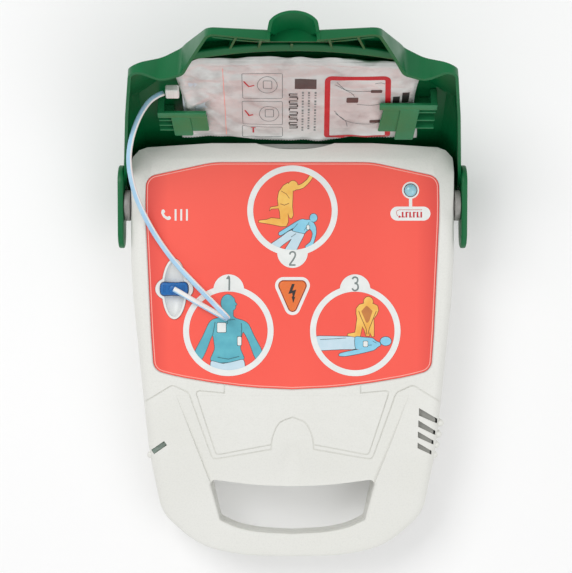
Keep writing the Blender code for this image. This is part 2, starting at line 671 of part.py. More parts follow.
# ---------------------------------------------------------------- lid
def lid_form(thickness, section):
    """The lid's outer or inner form, closed: a rounded plate with a rear end turned about the hinge."""
    front = plate(inset(mirrored(LID_HALF), thickness), 20, LID_TOP - thickness)
    front = bevel(front, 5 - thickness / 2, 3, 50)
    points = section[:-1] + [(-x, r) for x, r in reversed(section[:-1])]
    across = [Vector((x, HINGE_Z + r)) for x, r in points]
    across[0].y = across[-1].y = 10
    front = common(front, plate(across, -0.5, 230, "XZ"))
    rear = common(turned_end(section), box((-140, 0.2, HINGE_Z - 2), (140, 70, 130)))
    whole = warp(join(front, rear), LID_SLOPE_START, TONGUE_END, 22, lid_height(thickness))
    return cut(whole, above_shoulders(thickness))


def above_shoulders(depth):
    """Everything above the two facets that slope down to the lid's front corners, moved in by a depth."""
    a, b, c = (Vector(p) for p in SHOULDER)
    normal = (b - a).cross(c - a).normalized()
    blocks = []
    for side in (1, -1):
        up = Vector((side * normal.x, normal.y, normal.z))
        foot = Vector((side * a.x, a.y, a.z)) - up * depth
        turn = up.to_track_quat("Z", "Y").to_matrix().to_4x4()
        block = box((-200, -200, 0), (200, 200, 80))
        block.data.transform(Matrix.Translation(foot * MM) @ turn)
        low, high = sorted((0, side * 150))
        blocks.append(common(block, box((low, -240, 0), (high, 20, 200))))
    return join(*blocks)


def hood(thickness, front, back):
    """The finger hood's dome over the tongue, as a solid along Y."""
    half_width, crest = HOOD_HALF_WIDTH - thickness, HOOD_TOP - thickness
    arch = [p for p in ellipse((0, HOOD_SPRING), half_width, crest - HOOD_SPRING, 40) if p.y > HOOD_SPRING - 0.01]
    return plate([Vector((half_width, 40))] + arch + [Vector((-half_width, 40))], -back, -front, "XZ")


def below_rim():
    """Everything under the lid's edge, which follows the base's sloping top and rises below the hood."""
    slope = [(y, LID_RIM - 0.7 * top_drop(y)) for y in range(-139, -231, -10)]
    line = [(90, 0), (90, LID_RIM)] + slope + [(-229, 0)]
    notch = [(-196, 50), (-181.6, 50), (-181.6, 67.5), (-189, 71.5), (-196, 71.5)]
    under_hood = plate([Vector(p) for p in reversed(notch)], -HOOD_HALF_WIDTH - 0.2, HOOD_HALF_WIDTH + 0.2, "YZ")
    return join(plate([Vector(p) for p in line], -150, 150, "YZ"), under_hood)


def lid_ribs():
    """A bowed wall across the lid and a fan of ribs from it to the tongue's tip."""
    bow_radius, bow_y, half_angle = 262, 104, math.radians(15.2)
    turns = [half_angle * (k / 6 - 1) for k in range(13)]
    line = [Vector((bow_radius * math.sin(a), bow_y - bow_radius * math.cos(a))) for a in turns]
    back = [Vector((p.x * 0.992, p.y + 2)) for p in reversed(line)]
    wall = plate(line + back, 73, 100)
    for x, lean in ((-39, 12), (-22, 6), (22, -6), (39, -12)):
        wall = join(wall, slanted_bar((x, -170), 1.8, 31, lean, 55, 100))
    under = [(-120, 0), (-120, 73), (-158, 73), (TONGUE_END - 2, 60.5), (TONGUE_END - 2, 0)]
    return cut(wall, plate([Vector(p) for p in under], -150, 150, "YZ"))


def make_lid_shell():
    outer = join(lid_form(0, LID_SECTION), hood(0, TONGUE_END, -150))
    inner = join(lid_form(LID_THICK, LID_SECTION_INSIDE), hood(LID_THICK, -196, -152))
    middle = join(lid_form(LID_THICK / 2, LID_SECTION_INSIDE), hood(LID_THICK / 2, -192, -151))
    ribs = common(lid_ribs(), middle)
    shell = join(cut(outer, inner), ribs)
    shell = cut(shell, below_rim())
    tail_y, tail_z, tail_radius = EAR_TAIL
    root_y, root_z, root_radius = EAR_ROOT
    ear = capsule((tail_y, HINGE_Z + tail_z, tail_radius), (root_y, HINGE_Z + root_z, root_radius))
    for side in (-1, 1):
        inner_x, outer_x = sorted((side * EAR_INNER, side * EAR_OUTER))
        shell = join(shell, bevel(plate(ear, inner_x, outer_x, "YZ"), 0.8, 1))
        shell = cut(shell, cylinder((side * (EAR_INNER + 1.2), 0, HINGE_Z), PIN_RADIUS + GAP, 2.8, "X"))
    return finish(shell, "lid_shell", "lid", LID_PIVOT)


def make_clips():
    """Two brackets on the lid's inner face, each with a tongue over the pouch's edge."""
    ceiling = LID_TOP - LID_THICK - GAP
    tab_low, tab_high = 82.6, 85.4
    for name, wall, tab, low_y, high_y in (("left", (-97.4, -90.6), (-97.4, -62), -72.4, -45),
                                           ("right", (96.7, 103.5), (62, 103.5), -81.7, -39.5)):
        clip = box((wall[0], low_y, tab_low), (wall[1], high_y, ceiling))
        clip = join(clip, box((tab[0], low_y, tab_low), (tab[1], high_y, tab_high)))
        finish(bevel(clip, 0.8, 1), f"lid_clip_{name}", "lid", LID_PIVOT)


def make_lid_contents():
    (x0, x1), (y0, y1), (z0, z1) = POUCH_X, POUCH_Y, POUCH_Z
    film = 0.9
    pouch = bevel(box((x0, y0, z0), (x1, y1, z1)), 3, 2)
    hollow = box((x0 + 3, y0 + 3, z0 + film), (x1 - 3, y1 - 3, z1 - film))
    hollow = cut(hollow, above_shoulders(LID_THICK + 2 * GAP + film))
    pouch = cut(pouch, above_shoulders(LID_THICK + 2 * GAP), join(hollow, box((x0 - 5, -100, 88), (x0 + 8, -94, 91))))
    finish(pouch, "electrode_pouch", "foil", LID_PIVOT)
    for name, (low_x, high_x) in zip(("electrode_pad_sternum", "electrode_pad_apex"), PAD_X):
        pad = box((low_x, y0 + 8, z0 + film + GAP), (high_x, y1 - 8, z1 - film - GAP - 2))
        finish(cut(pad, above_shoulders(LID_THICK + 3 * GAP + film)), name, "gel", LID_PIVOT)
    neck = bevel(box((-89.8, -102, 80.6), (-80.2, -92, z0 - GAP)), 1, 2)
    finish(neck, "pouch_neck", "white", LID_PIVOT)
    finish(cylinder((-30, -84, 96.6), 5, 2.7), "lid_magnet", "steel", LID_PIVOT)


# ---------------------------------------------------------------- electrode lead
def smooth_route(points, steps=3):
    """A Catmull-Rom curve through the route's points."""
    points = [Vector(p) for p in points]
    ends = [2 * points[0] - points[1]] + points + [2 * points[-1] - points[-2]]
    path = []
    for a, b, c, d in zip(ends, ends[1:], ends[2:], ends[3:]):
        for k in range(steps):
            t = k / steps
            path.append(0.5 * (2 * b + (c - a) * t + (2 * a - 5 * b + 4 * c - d) * t ** 2
                               + (3 * b - a - 3 * c + d) * t ** 3))
    return path + [points[-1]]


def make_lead():
    curve = bpy.data.curves.new("electrode_cable", "CURVE")
    curve.dimensions = "3D"
    curve.bevel_depth = LEAD_DIAMETER / 2 * MM
    curve.bevel_resolution = 2
    curve.use_fill_caps = True
    route = smooth_route(LEAD_ROUTE)
    spline = curve.splines.new("POLY")
    spline.points.add(len(route) - 1)
    for spot, point in zip(spline.points, route):
        spot.co = (*(point * MM), 1)
    holder = bpy.data.objects.new("electrode_cable", curve)
    PARTS.objects.link(holder)
    finish(bake(holder), "electrode_cable", "light_blue")


def make_plug():
    x, y = SOCKET
    plug = bevel(plate(ellipse((x, y), 10.6, 5.3), SOCKET_FLOOR + GAP, PLUG_TOP), 1.6, 2)
    for pin in (-4, 4):
        plug = join(plug, cylinder((x + pin, y, 55.5), 1.3, 8, segments=10))
    finish(plug, "electrode_plug", "blue")


make_upper_housing()
make_lower_housing()
make_gasket()
make_panel_overlay()
make_feet()
make_hinge()
make_socket()
make_boards()
make_switches()
make_power_parts()
make_sound_and_light()
make_ribbon()
make_contacts()
make_screws()
make_buttons()
make_battery()
make_lid_shell()
make_clips()
make_lid_contents()
make_lead()
make_plug()
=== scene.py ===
import json
import math

import bmesh
import bpy
from mathutils import Matrix, Vector, noise
from mathutils.bvhtree import BVHTree


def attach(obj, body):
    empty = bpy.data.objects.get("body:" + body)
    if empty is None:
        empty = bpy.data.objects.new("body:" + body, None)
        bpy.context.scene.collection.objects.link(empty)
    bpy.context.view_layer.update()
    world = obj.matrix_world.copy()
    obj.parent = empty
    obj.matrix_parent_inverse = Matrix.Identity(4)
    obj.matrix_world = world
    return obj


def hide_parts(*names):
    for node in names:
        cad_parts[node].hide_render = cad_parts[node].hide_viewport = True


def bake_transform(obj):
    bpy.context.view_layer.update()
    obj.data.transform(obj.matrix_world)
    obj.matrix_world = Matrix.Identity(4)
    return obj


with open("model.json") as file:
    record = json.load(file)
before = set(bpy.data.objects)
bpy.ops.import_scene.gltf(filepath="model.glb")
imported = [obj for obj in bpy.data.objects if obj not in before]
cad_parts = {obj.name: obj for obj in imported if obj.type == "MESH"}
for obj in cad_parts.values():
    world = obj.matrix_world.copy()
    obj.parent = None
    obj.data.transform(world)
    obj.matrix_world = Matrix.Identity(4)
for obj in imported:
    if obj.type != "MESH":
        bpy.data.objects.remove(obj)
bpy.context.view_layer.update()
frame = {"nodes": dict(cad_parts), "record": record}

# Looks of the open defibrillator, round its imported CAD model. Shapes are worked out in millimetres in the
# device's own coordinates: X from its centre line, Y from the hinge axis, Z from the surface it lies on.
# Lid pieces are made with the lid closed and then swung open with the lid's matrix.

MM = 0.001
HINGE_Y, HINGE_Z, LID_OPEN = 72.2, 51.0, 120.0   # the hinge axis in the shared frame, and the lid's swing at rest
CAMERA_PLACE, CAMERA_LENS = (-4.8, 11.5, 1200), 96.4
GAP = 0.3
SPLIT_Z, SPLIT_GAP = 36.0, 1.6
BASE_BOTTOM = 1.5
RIM_Z = 64.0
THROUGH_TOP = (50, 70)   # heights of a tool that cuts right through the base's top
TOP_ROUND, BOTTOM_ROUND, GAP_ROUND = 8.0, 5.0, 3.5
SLOPE_START, SLOPE_LENGTH, SLOPE_DROP = -139.0, 120.0, 17.0
UNDERSIDE_START, UNDERSIDE_LENGTH, UNDERSIDE_RISE = -188.0, 75.0, 21.0
END_REBATE_Y = -14.0
PANEL_FLOOR, PANEL_TOP = 62.2, 63.4
LID_THICK, LID_TOP, LID_RIM, LID_SLOPE_START = 2.2, 100.5, 65.0, -122.0
TONGUE_END, TONGUE_END_Z = -188.5, 67.2
HOOD_TOP, HOOD_SPRING, HOOD_HALF_WIDTH = 80.0, 64.5, 17.5
SOCKET, SOCKET_TOP, SOCKET_FLOOR, PLUG_TOP = (-87.5, -62.5), 64.8, 58.6, 67.5
SHOCK_BUTTON, REPEAT_BUTTON, REPEAT_RADIUS = (0.0, -67.0), (87.5, 10.6), 4.6
BUTTON_TOP, BUTTON_BOTTOM, BUTTON_CLEARANCE = 64.6, 58.6, 0.45
BATTERY_X, BATTERY_Y, BATTERY_TOP = 54.0, (-188.0, -122.0), 33.0
POUCH_Y, POUCH_Z = (-130.0, -33.0), (86.4, 94.9)
SPIGOT_RADIUS, PIN_RADIUS = 6.5, 4.0
BOSS_RADIUS, BOSS_INNER, BOSS_OUTER = 11.5, 120.8, 125.2
EAR_INNER, EAR_OUTER = 125.5, 129.6
EAR_TAIL, EAR_ROOT = (10.0, -17.3, 12.0), (-8.0, 13.9, 14.0)
# Left and right x, then the two ends' high and low y, of each slot over the speaker.
SPEAKER_SLOTS = [(93.7, 107.7, (-150.7, -156.4), (-159.0, -162.6)),
                 (93.3, 106.3, (-159.9, -164.8), (-168.0, -171.2)),
                 (93.1, 105.0, (-168.3, -172.8), (-175.4, -178.4)),
                 (93.0, 103.6, (-176.7, -180.9), (-183.1, -186.0))]
STATUS_SLOT, STATUS_LENGTH, SLOT_WIDTH, SLOT_ANGLE = (-99.2, -180.5), 12.0, 3.8, -35
SCREWS = [(-104, -26), (104, -26), (-107, -112), (107, -112), (-92, -191), (92, -191)]
FEET = [(-84, -34), (84, -34), (-84, -176), (84, -176)]

BODY_HALF = [(0, 46.5, 0), (58, 46.5, 60), (118.6, 43.5, 13), (120.5, 25, 80), (120, -56, 300),
             (106.5, -187, 150), (98, -231, 30), (70, -256.5, 60), (35, -263.3, 120), (0, -263.8, 0)]
HAND_GAP_HALF = [(0, -210.4, 0), (28, -209.4, 120), (62.5, -204.8, 3.5), (54.3, -236.2, 3.5),
                 (42, -241.8, 40), (27, -245.2, 90), (0, -246.6, 0)]
PANEL_HALF = [(0, 31.2, 0), (58.7, 31.2, 60), (108.4, 20.4, 9), (108.8, -5, 200), (104.6, -95, 200),
              (102.6, -122.6, 9), (85, -127.3, 100), (60, -131.6, 120), (32, -135.3, 150), (0, -136.7, 0)]
LID_HALF = [(0, 12, 0), (126, 12, 0), (126, -12, 60), (117.8, -92, 120), (110.5, -148, 8),
            (89.5, -134.6, 8), (76, -140.5, 7), (56, TONGUE_END, 7), (16, -181, 0), (0, -181, 0)]
SHOULDER = [(109.6, -148, 68), (89.5, -134.6, 83.8), (76, -140.5, 87.5)]   # facet over the lid's right corner
LID_SECTION = [(126, 0), (126, 27), (124.5, 35), (121.5, 42), (117, 47), (112, 49.5), (0, 49.5)]
LID_INSIDE = [(123.8, 0), (123.8, 27), (122.4, 34.2), (119.6, 40.5), (115.6, 45), (111, 47.3), (0, 47.3)]
BASE_END = [(120.6, 0), (120.5, 29), (119, 36), (114, 41.3), (108, 43.6), (60, 46.5), (0, 46.5)]
CAVITY_END = [(116.4, 0), (116.4, 25), (113, 35), (105, 40.2), (58, 43.2), (0, 43.2)]

# The electrode lead, from the pouch's neck to the plug.
LEAD_ROUTE = [(-91.2, 76.2, 114.6), (-95.8, 74.2, 115.5), (-102, 69.4, 115.6), (-109, 59.4, 112),
              (-115.2, 45.4, 102.6), (-118, 31, 93.6), (-117, 16.6, 85), (-113.2, 2, 76.5), (-104.9, -16.1, 70.5),
              (-95, -32, 66.8), (-84, -46, 67.5), (-71.8, -58.8, 70), (-62.6, -68, 76),
              (-54.6, -76, 81.5), (-49.4, -81.4, 80), (-47.6, -84, 74.4), (-50.6, -83.4, 68.6),
              (-57.4, -79.8, 66.4), (-66, -75, 66.8), (-74, -70.4, 68.7), (-81, -66.2, 69.9),
              (-87.5, -62.5, 70)]

DEVICE = Matrix.Translation((0, HINGE_Y * MM, 0))
LID = (Matrix.Translation((0, HINGE_Y * MM, HINGE_Z * MM)) @ Matrix.Rotation(math.radians(-LID_OPEN), 4, "X")
       @ Matrix.Translation((0, 0, -HINGE_Z * MM)))
PLACES = {"base": DEVICE, "shock_button": DEVICE, "repeat_button": DEVICE, "battery": DEVICE, "lid": LID}
SCENE = bpy.context.scene


# ---------------------------------------------------------------- mesh helpers
def linked(obj):
    SCENE.collection.objects.link(obj)
    return obj


def from_bmesh(bm, name="shape"):
    bm.normal_update()
    bmesh.ops.recalc_face_normals(bm, faces=bm.faces)
    mesh = bpy.data.meshes.new(name)
    bm.to_mesh(mesh)
    bm.free()
    return linked(bpy.data.objects.new(name, mesh))


def bake(obj):
    """The object as plain mesh, with its modifiers applied and its seams welded."""
    graph = bpy.context.evaluated_depsgraph_get()
    mesh = bpy.data.meshes.new_from_object(obj.evaluated_get(graph))
    bpy.data.objects.remove(obj)
    bm = bmesh.new()
    bm.from_mesh(mesh)
    bmesh.ops.remove_doubles(bm, verts=bm.verts, dist=1e-6)
    return from_bmesh(bm)


def combine(target, tool, operation):
    modifier = target.modifiers.new(operation, "BOOLEAN")
    modifier.operation = operation
    modifier.object = tool
    modifier.solver = "EXACT"
    target = bake(target)
    bpy.data.objects.remove(tool)
    return target


def cut(target, *tools):
    for tool in tools:
        target = combine(target, tool, "DIFFERENCE")
    return target


def join(target, *tools):
    for tool in tools:
        target = combine(target, tool, "UNION")
    return target


def common(target, tool):
    return combine(target, tool, "INTERSECT")


def grouped(objects):
    """Several separate shapes as one mesh object, without any boolean."""
    bm = bmesh.new()
    for obj in objects:
        bm.from_mesh(obj.data)
        bpy.data.objects.remove(obj)
    return from_bmesh(bm)


def copied(obj, shift=(0, 0, 0)):
    twin = linked(bpy.data.objects.new("copy", obj.data.copy()))
    twin.data.transform(Matrix.Translation(Vector(shift) * MM))
    return twin


def bevel(obj, width, segments=3, angle=60):
    modifier = obj.modifiers.new("bevel", "BEVEL")
    modifier.width = width * MM
    modifier.segments = segments
    modifier.limit_method = "ANGLE"
    modifier.angle_limit = math.radians(angle)
    return bake(obj)


def moved(obj, shift, turn=0.0):
    obj.data.transform(Matrix.Translation(Vector(shift) * MM) @ Matrix.Rotation(math.radians(turn), 4, "Z"))
    return obj


def box(low, high):
    bm = bmesh.new()
    bmesh.ops.create_cube(bm, size=1)
    low, high = Vector(low) * MM, Vector(high) * MM
    bm.transform(Matrix.Translation((low + high) / 2) @ Matrix.Diagonal(high - low).to_4x4())
    return from_bmesh(bm)


AXIS_TURNS = {"Z": Matrix.Identity(4), "X": Matrix.Rotation(math.pi / 2, 4, "Y"),
              "Y": Matrix.Rotation(-math.pi / 2, 4, "X")}


def cylinder(centre, radius, length, axis="Z", segments=48):
    bm = bmesh.new()
    bmesh.ops.create_cone(bm, cap_ends=True, segments=segments, radius1=radius * MM,
                          radius2=radius * MM, depth=length * MM)
    bm.transform(Matrix.Translation(Vector(centre) * MM) @ AXIS_TURNS[axis])
    return from_bmesh(bm)


def ellipsoid(centre, radii, stretch=0.0, segments=40):
    """An ellipsoid whose upper half may be lifted, which makes it an upright pill."""
    bm = bmesh.new()
    bmesh.ops.create_uvsphere(bm, u_segments=segments, v_segments=segments // 2, radius=1)
    for vert in bm.verts:
        lift = stretch if vert.co.z > 0.001 else 0
        vert.co = Vector((centre[0] + vert.co.x * radii[0], centre[1] + vert.co.y * radii[1],
                          centre[2] + vert.co.z * radii[2] + lift)) * MM
    return from_bmesh(bm)


def block_above(foot, turn):
    """A big block whose underside passes through foot, turned by a 3 x 3 matrix."""
    block = box((-200, -200, 0), (200, 200, 80))
    block.data.transform(Matrix.Translation(foot) @ turn.to_4x4())
    return block


def above_plane(first, second, third):
    """A big block whose underside is the plane through three points."""
    first, second, third = (Vector(p) * MM for p in (first, second, third))
    along = (second - first).normalized()
    normal = along.cross(third - first).normalized()
    if normal.z < 0:
        normal = -normal
    return block_above(first, Matrix((along, normal.cross(along), normal)).transposed())


def turned(profile, segments=96):
    """A body of revolution about the hinge axis from (x, radius) points, closed on the axis or in a loop."""
    bm = bmesh.new()
    verts = [bm.verts.new((radius * MM, 0, x * MM)) for x, radius in profile]
    following = verts[1:] if profile[0][1] == 0 else verts[1:] + verts[:1]
    for a, b in zip(verts, following):
        bm.edges.new((a, b))
    obj = from_bmesh(bm)
    screw = obj.modifiers.new("screw", "SCREW")
    screw.steps = screw.render_steps = segments
    screw.use_merge_vertices = True
    screw.merge_threshold = 1e-6
    obj = bake(obj)
    obj.data.transform(Matrix.Translation((0, 0, HINGE_Z * MM)) @ AXIS_TURNS["X"])
    return obj


def turned_end(half_section):
    right = half_section[:-1]
    return turned([(x, r) for x, r in right] + [(-x, r) for x, r in reversed(right)])


# ---------------------------------------------------------------- outlines
def rounded(corners, step=6):
    """The closed outline through (x, y, radius) corners, with an arc where a corner has a radius."""
    points = []
    for i, (x, y, radius) in enumerate(corners):
        here = Vector((x, y))
        before = Vector(corners[i - 1][:2]) - here
        after = Vector(corners[(i + 1) % len(corners)][:2]) - here
        half = before.angle(after) / 2
        if radius <= 0:
            points.append(here)
            continue
        reach = min(radius / math.tan(half), 0.48 * before.length, 0.48 * after.length)
        start, end = here + before.normalized() * reach, here + after.normalized() * reach
        middle = here + (before.normalized() + after.normalized()).normalized() * (reach / math.cos(half))
        sweep = (start - middle).angle_signed(end - middle)
        count = max(1, math.ceil(abs(math.degrees(sweep)) / step))
        points += [middle + Matrix.Rotation(-sweep * k / count, 2) @ (start - middle) for k in range(count + 1)]
    area = sum(a.x * b.y - a.y * b.x for a, b in zip(points, points[1:] + points[:1]))
    return points if area > 0 else points[::-1]


def rectangle(low_x, low_y, high_x, high_y, radius, step=6):
    corners = [(low_x, low_y), (high_x, low_y), (high_x, high_y), (low_x, high_y)]
    return rounded([(x, y, radius) for x, y in corners], step)


def mirrored(half, step=6):
    return rounded(half + [(-x, y, radius) for x, y, radius in reversed(half) if x > 0], step)


def inset(points, distance):
    """A counterclockwise outline moved inwards by a distance, or outwards if it is negative."""
    result = []
    for i, here in enumerate(points):
        before = (here - points[i - 1]).normalized()
        after = (points[(i + 1) % len(points)] - here).normalized()
        normal = Vector((-before.y - after.y, before.x + after.x)).normalized()
        stretch = max(0.5, normal.dot(Vector((-before.y, before.x))))
        result.append(here + normal * distance / stretch)
    return result


PLANES = {"XY": Matrix.Identity(4),
          "YZ": Matrix(((0, 0, 1, 0), (1, 0, 0, 0), (0, 1, 0, 0), (0, 0, 0, 1))),
          "XZ": Matrix(((1, 0, 0, 0), (0, 0, -1, 0), (0, 1, 0, 0), (0, 0, 0, 1)))}


def plate(outlines, low, high, plane="XY"):
    """One outline, or several with holes, as a solid between two distances from its plane."""
    outlines = outlines if isinstance(outlines[0], list) else [outlines]
    curve = bpy.data.curves.new("outline", "CURVE")
    curve.dimensions = "2D"
    curve.fill_mode = "BOTH"
    curve.extrude = (high - low) / 2 * MM
    for points in outlines:
        spline = curve.splines.new("POLY")
        spline.points.add(len(points) - 1)
        for spot, point in zip(spline.points, points):
            spot.co = (point[0] * MM, point[1] * MM, 0, 1)
        spline.use_cyclic_u = True
    obj = bake(linked(bpy.data.objects.new("outline", curve)))
    bm = bmesh.new()
    bm.from_mesh(obj.data)
    bmesh.ops.dissolve_limit(bm, angle_limit=0.001, verts=bm.verts, edges=bm.edges)
    bm.to_mesh(obj.data)
    bm.free()
    obj.data.transform(PLANES[plane] @ Matrix.Translation((0, 0, (low + high) / 2 * MM)))
    return obj


def lofted(lower, upper):
    """A solid between two rings of as many (x, y, z) points each."""
    bm = bmesh.new()
    rings = [[bm.verts.new(Vector(p) * MM) for p in ring] for ring in (lower, upper)]
    for k in range(len(lower)):
        j = (k + 1) % len(lower)
        bm.faces.new((rings[0][k], rings[0][j], rings[1][j], rings[1][k]))
    bm.faces.new(rings[0])
    bm.faces.new(rings[1])
    return from_bmesh(bm)


def at_height(points, z):
    return [(p[0], p[1], z) for p in points]


def ellipse(centre, half_x, half_y, count=64):
    turns = [2 * math.pi * k / count for k in range(count)]
    return [Vector((centre[0] + half_x * math.cos(a), centre[1] + half_y * math.sin(a))) for a in turns]


def capsule(first, second, count=20):
    heading = math.atan2(second[1] - first[1], second[0] - first[0])
    points = []
    for (x, y, radius), start in ((second, heading - math.pi / 2), (first, heading + math.pi / 2)):
        for k in range(count + 1):
            a = start + math.pi * k / count
            points.append(Vector((x + radius * math.cos(a), y + radius * math.sin(a))))
    return points


def smooth_route(points, steps=3):
    """A Catmull-Rom curve through the points."""
    points = [Vector(p) for p in points]
    ends = [2 * points[0] - points[1]] + points + [2 * points[-1] - points[-2]]
    path = []
    for a, b, c, d in zip(ends, ends[1:], ends[2:], ends[3:]):
        for k in range(steps):
            t = k / steps
            path.append(0.5 * (2 * b + (c - a) * t + (2 * a - 5 * b + 4 * c - d) * t ** 2
                               + (3 * b - a - 3 * c + d) * t ** 3))
    return path + [points[-1]]


def stroke(points, width):
    """The outline of a line of a given width."""
    points = [Vector(p) for p in points]
    sides = ([], [])
    for k, here in enumerate(points):
        before = (here - points[k - 1]).normalized() if k else (points[1] - here).normalized()
        after = (points[k + 1] - here).normalized() if k + 1 < len(points) else before
        normal = Vector((-before.y - after.y, before.x + after.x)).normalized()
        reach = width / 2 / max(0.5, normal.dot(Vector((-before.y, before.x))))
        sides[0].append(here - normal * reach)
        sides[1].append(here + normal * reach)
    return sides[0] + sides[1][::-1]


# ---------------------------------------------------------------- sloped surfaces
def smoothstep(t):
    t = max(0.0, min(1.0, t))
    return t * t * (3 - 2 * t)


def top_drop(y):
    return SLOPE_DROP * smoothstep((SLOPE_START - y) / SLOPE_LENGTH)


def warp(obj, first, last, step, height):
    """Slices the body across Y between two places and moves each vertex to height(y, z)."""
    bm = bmesh.new()
    bm.from_mesh(obj.data)
    for k in range(math.floor((first - last) / step) + 1):
        bmesh.ops.bisect_plane(bm, geom=bm.verts[:] + bm.edges[:] + bm.faces[:], dist=1e-6,
                               plane_co=(0, (first - k * step) * MM, 0), plane_no=(0, 1, 0))
    bmesh.ops.triangulate(bm, faces=bm.faces)
    for vert in bm.verts:
        vert.co.z = height(vert.co.y / MM, vert.co.z / MM) * MM
    bm.to_mesh(obj.data)
    bm.free()
    return obj


def base_height(y, z):
    upper_edge, lower_edge = SPLIT_Z + SPLIT_GAP / 2, SPLIT_Z - SPLIT_GAP / 2
    rise = UNDERSIDE_RISE * smoothstep((UNDERSIDE_START - y) / UNDERSIDE_LENGTH)
    z -= top_drop(y) * max(0, z - upper_edge) / (RIM_Z - upper_edge)
    return z + rise * max(0, lower_edge - z) / (lower_edge - BASE_BOTTOM)


def lid_height(thickness):
    rim, top = LID_RIM - 5, LID_TOP - thickness
    steepness = (LID_TOP - TONGUE_END_Z) / (LID_SLOPE_START - TONGUE_END)

    def height(y, z):
        if z <= rim or y >= LID_SLOPE_START:
            return z
        foot = rim - top_drop(y)
        crest = LID_TOP - steepness * (LID_SLOPE_START - y) - thickness * math.hypot(1, steepness)
        return foot + (z - rim) * (crest - foot) / (top - rim)

    return height


# ---------------------------------------------------------------- procedural materials
def colour(red, green, blue):
    """An 8-bit display colour as a linear one."""
    return tuple(((c / 255 + 0.055) / 1.055) ** 2.4 if c > 10 else c / 3294 for c in (red, green, blue))


class Finish:
    """A material whose colour, roughness and relief come from procedural nodes in the piece's own space."""

    def __init__(self, name, metal=0.0, **constants):
        self.material = bpy.data.materials.new(name)
        self.material.use_nodes = True
        self.tree = self.material.node_tree
        self.shader = self.tree.nodes["Principled BSDF"]
        self.place = self.tree.nodes.new("ShaderNodeTexCoord").outputs["Object"]
        self.shader.inputs["Metallic"].default_value = metal
        for key, value in constants.items():
            self.shader.inputs[key.replace("_", " ")].default_value = value

    def node(self, kind, inputs=(), **settings):
        node = self.tree.nodes.new(kind)
        for key, value in settings.items():
            setattr(node, key, value)
        for socket, value in dict(inputs).items():
            if isinstance(value, bpy.types.NodeSocket):
                self.tree.links.new(value, node.inputs[socket])
            else:
                node.inputs[socket].default_value = value
        return node

    def stretched(self, scale):
        return self.node("ShaderNodeMapping", {"Vector": self.place, "Scale": scale}).outputs[0]

    def noise(self, scale, detail=3.0, stretch=None, rough=0.5):
        place = self.stretched(stretch) if stretch else self.place
        return self.node("ShaderNodeTexNoise", {"Vector": place, "Scale": scale, "Detail": detail,
                                                "Roughness": rough}).outputs["Fac"]

    def spread(self, value, low, high, to_low=0.0, to_high=1.0):
        return self.node("ShaderNodeMapRange", {"Value": value, "From Min": low, "From Max": high,
                                                "To Min": to_low, "To Max": to_high}).outputs[0]

    def math(self, operation, first, second=0.0):
        return self.node("ShaderNodeMath", {0: first, 1: second}, operation=operation).outputs[0]

    def mixed(self, factor, first, second):
        def full(c):
            return c if isinstance(c, bpy.types.NodeSocket) else (*c, 1.0)
        node = self.node("ShaderNodeMix", data_type="RGBA")
        for index, value in ((0, factor), (6, full(first)), (7, full(second))):
            if isinstance(value, bpy.types.NodeSocket):
                self.tree.links.new(value, node.inputs[index])
            else:
                node.inputs[index].default_value = value
        return node.outputs[2]

    def edges(self, amount):
        """How far a place stands proud, which is where edges are lightened, partly as rubbing from use and partly as
        a painted highlight.
        """
        point = self.node("ShaderNodeNewGeometry").outputs["Pointiness"]
        worn_and_lit = self.spread(point, 0.52, 0.60)
        return self.math("MULTIPLY", self.math("MULTIPLY", worn_and_lit, self.spread(self.noise(160), 0.35, 0.6)), amount)

    def done(self, tint, roughness, relief=(), extra=None):
        """Connects colour and roughness, and a chain of (height, depth in mm) reliefs."""
        self.tree.links.new(tint, self.shader.inputs["Base Color"])
        self.tree.links.new(roughness, self.shader.inputs["Roughness"])
        normal = None
        for height, depth in relief:
            inputs = {"Height": height, "Distance": depth * MM, "Strength": 1.0}
            if normal is not None:
                inputs["Normal"] = normal
            normal = self.node("ShaderNodeBump", inputs).outputs[0]
        if normal is not None:
            self.tree.links.new(normal, self.shader.inputs["Normal"])
        return self.material


def moulded(name, main, other, rough=0.4, grain=1400, depth=0.02, wear=0.25, worn_and_lit=None, **constants):
    """Moulded plastic: slow colour drift, a fine spark-eroded grain and lighter edges, partly rubbed by use and
    partly a painted highlight.
    """
    f = Finish(name, **constants)
    tint = f.mixed(f.spread(f.noise(11), 0.3, 0.7), main, other)
    tint = f.mixed(f.spread(f.noise(900, 2), 0.45, 0.75, 0, 0.12), tint, tuple(c * 0.6 for c in main))
    # Convex edges are mixed towards a lighter tint, partly as rubbing from use and partly as a painted highlight.
    tint = f.mixed(f.edges(wear), tint, worn_and_lit or tuple(min(1, c * 1.5 + 0.03) for c in main))
    roughness = f.spread(f.noise(70, 5), 0.3, 0.7, rough - 0.07, rough + 0.09)
    return f.done(tint, roughness, ((f.noise(grain, 2), depth), (f.noise(24, 2), 0.10)))


def make_panel_finish():
    """Reverse-printed film: an even red under a finely embossed skin, darker towards its two sides with painted
    shade.
    """
    f = Finish("panel_film", Coat_Weight=0.15, Coat_Roughness=0.25)
    across = f.node("ShaderNodeSeparateXYZ", {0: f.place}).outputs[0]
    side = f.spread(f.math("ABSOLUTE", across), 0.092, 0.106)
    drift = f.spread(f.noise(9, 2, (1, 0.4, 1)), 0.35, 0.7)
    tint = f.mixed(drift, colour(252, 92, 76), colour(244, 82, 68))
    # Painted shade: the red darkens towards the film's two side edges.
    tint = f.mixed(f.math("MULTIPLY", side, 0.45), tint, colour(200, 44, 44))
    roughness = f.spread(f.noise(220, 4), 0.3, 0.7, 0.34, 0.46)
    return f.done(tint, roughness, ((f.noise(2200, 1), 0.006), (f.noise(30, 1), 0.05)))


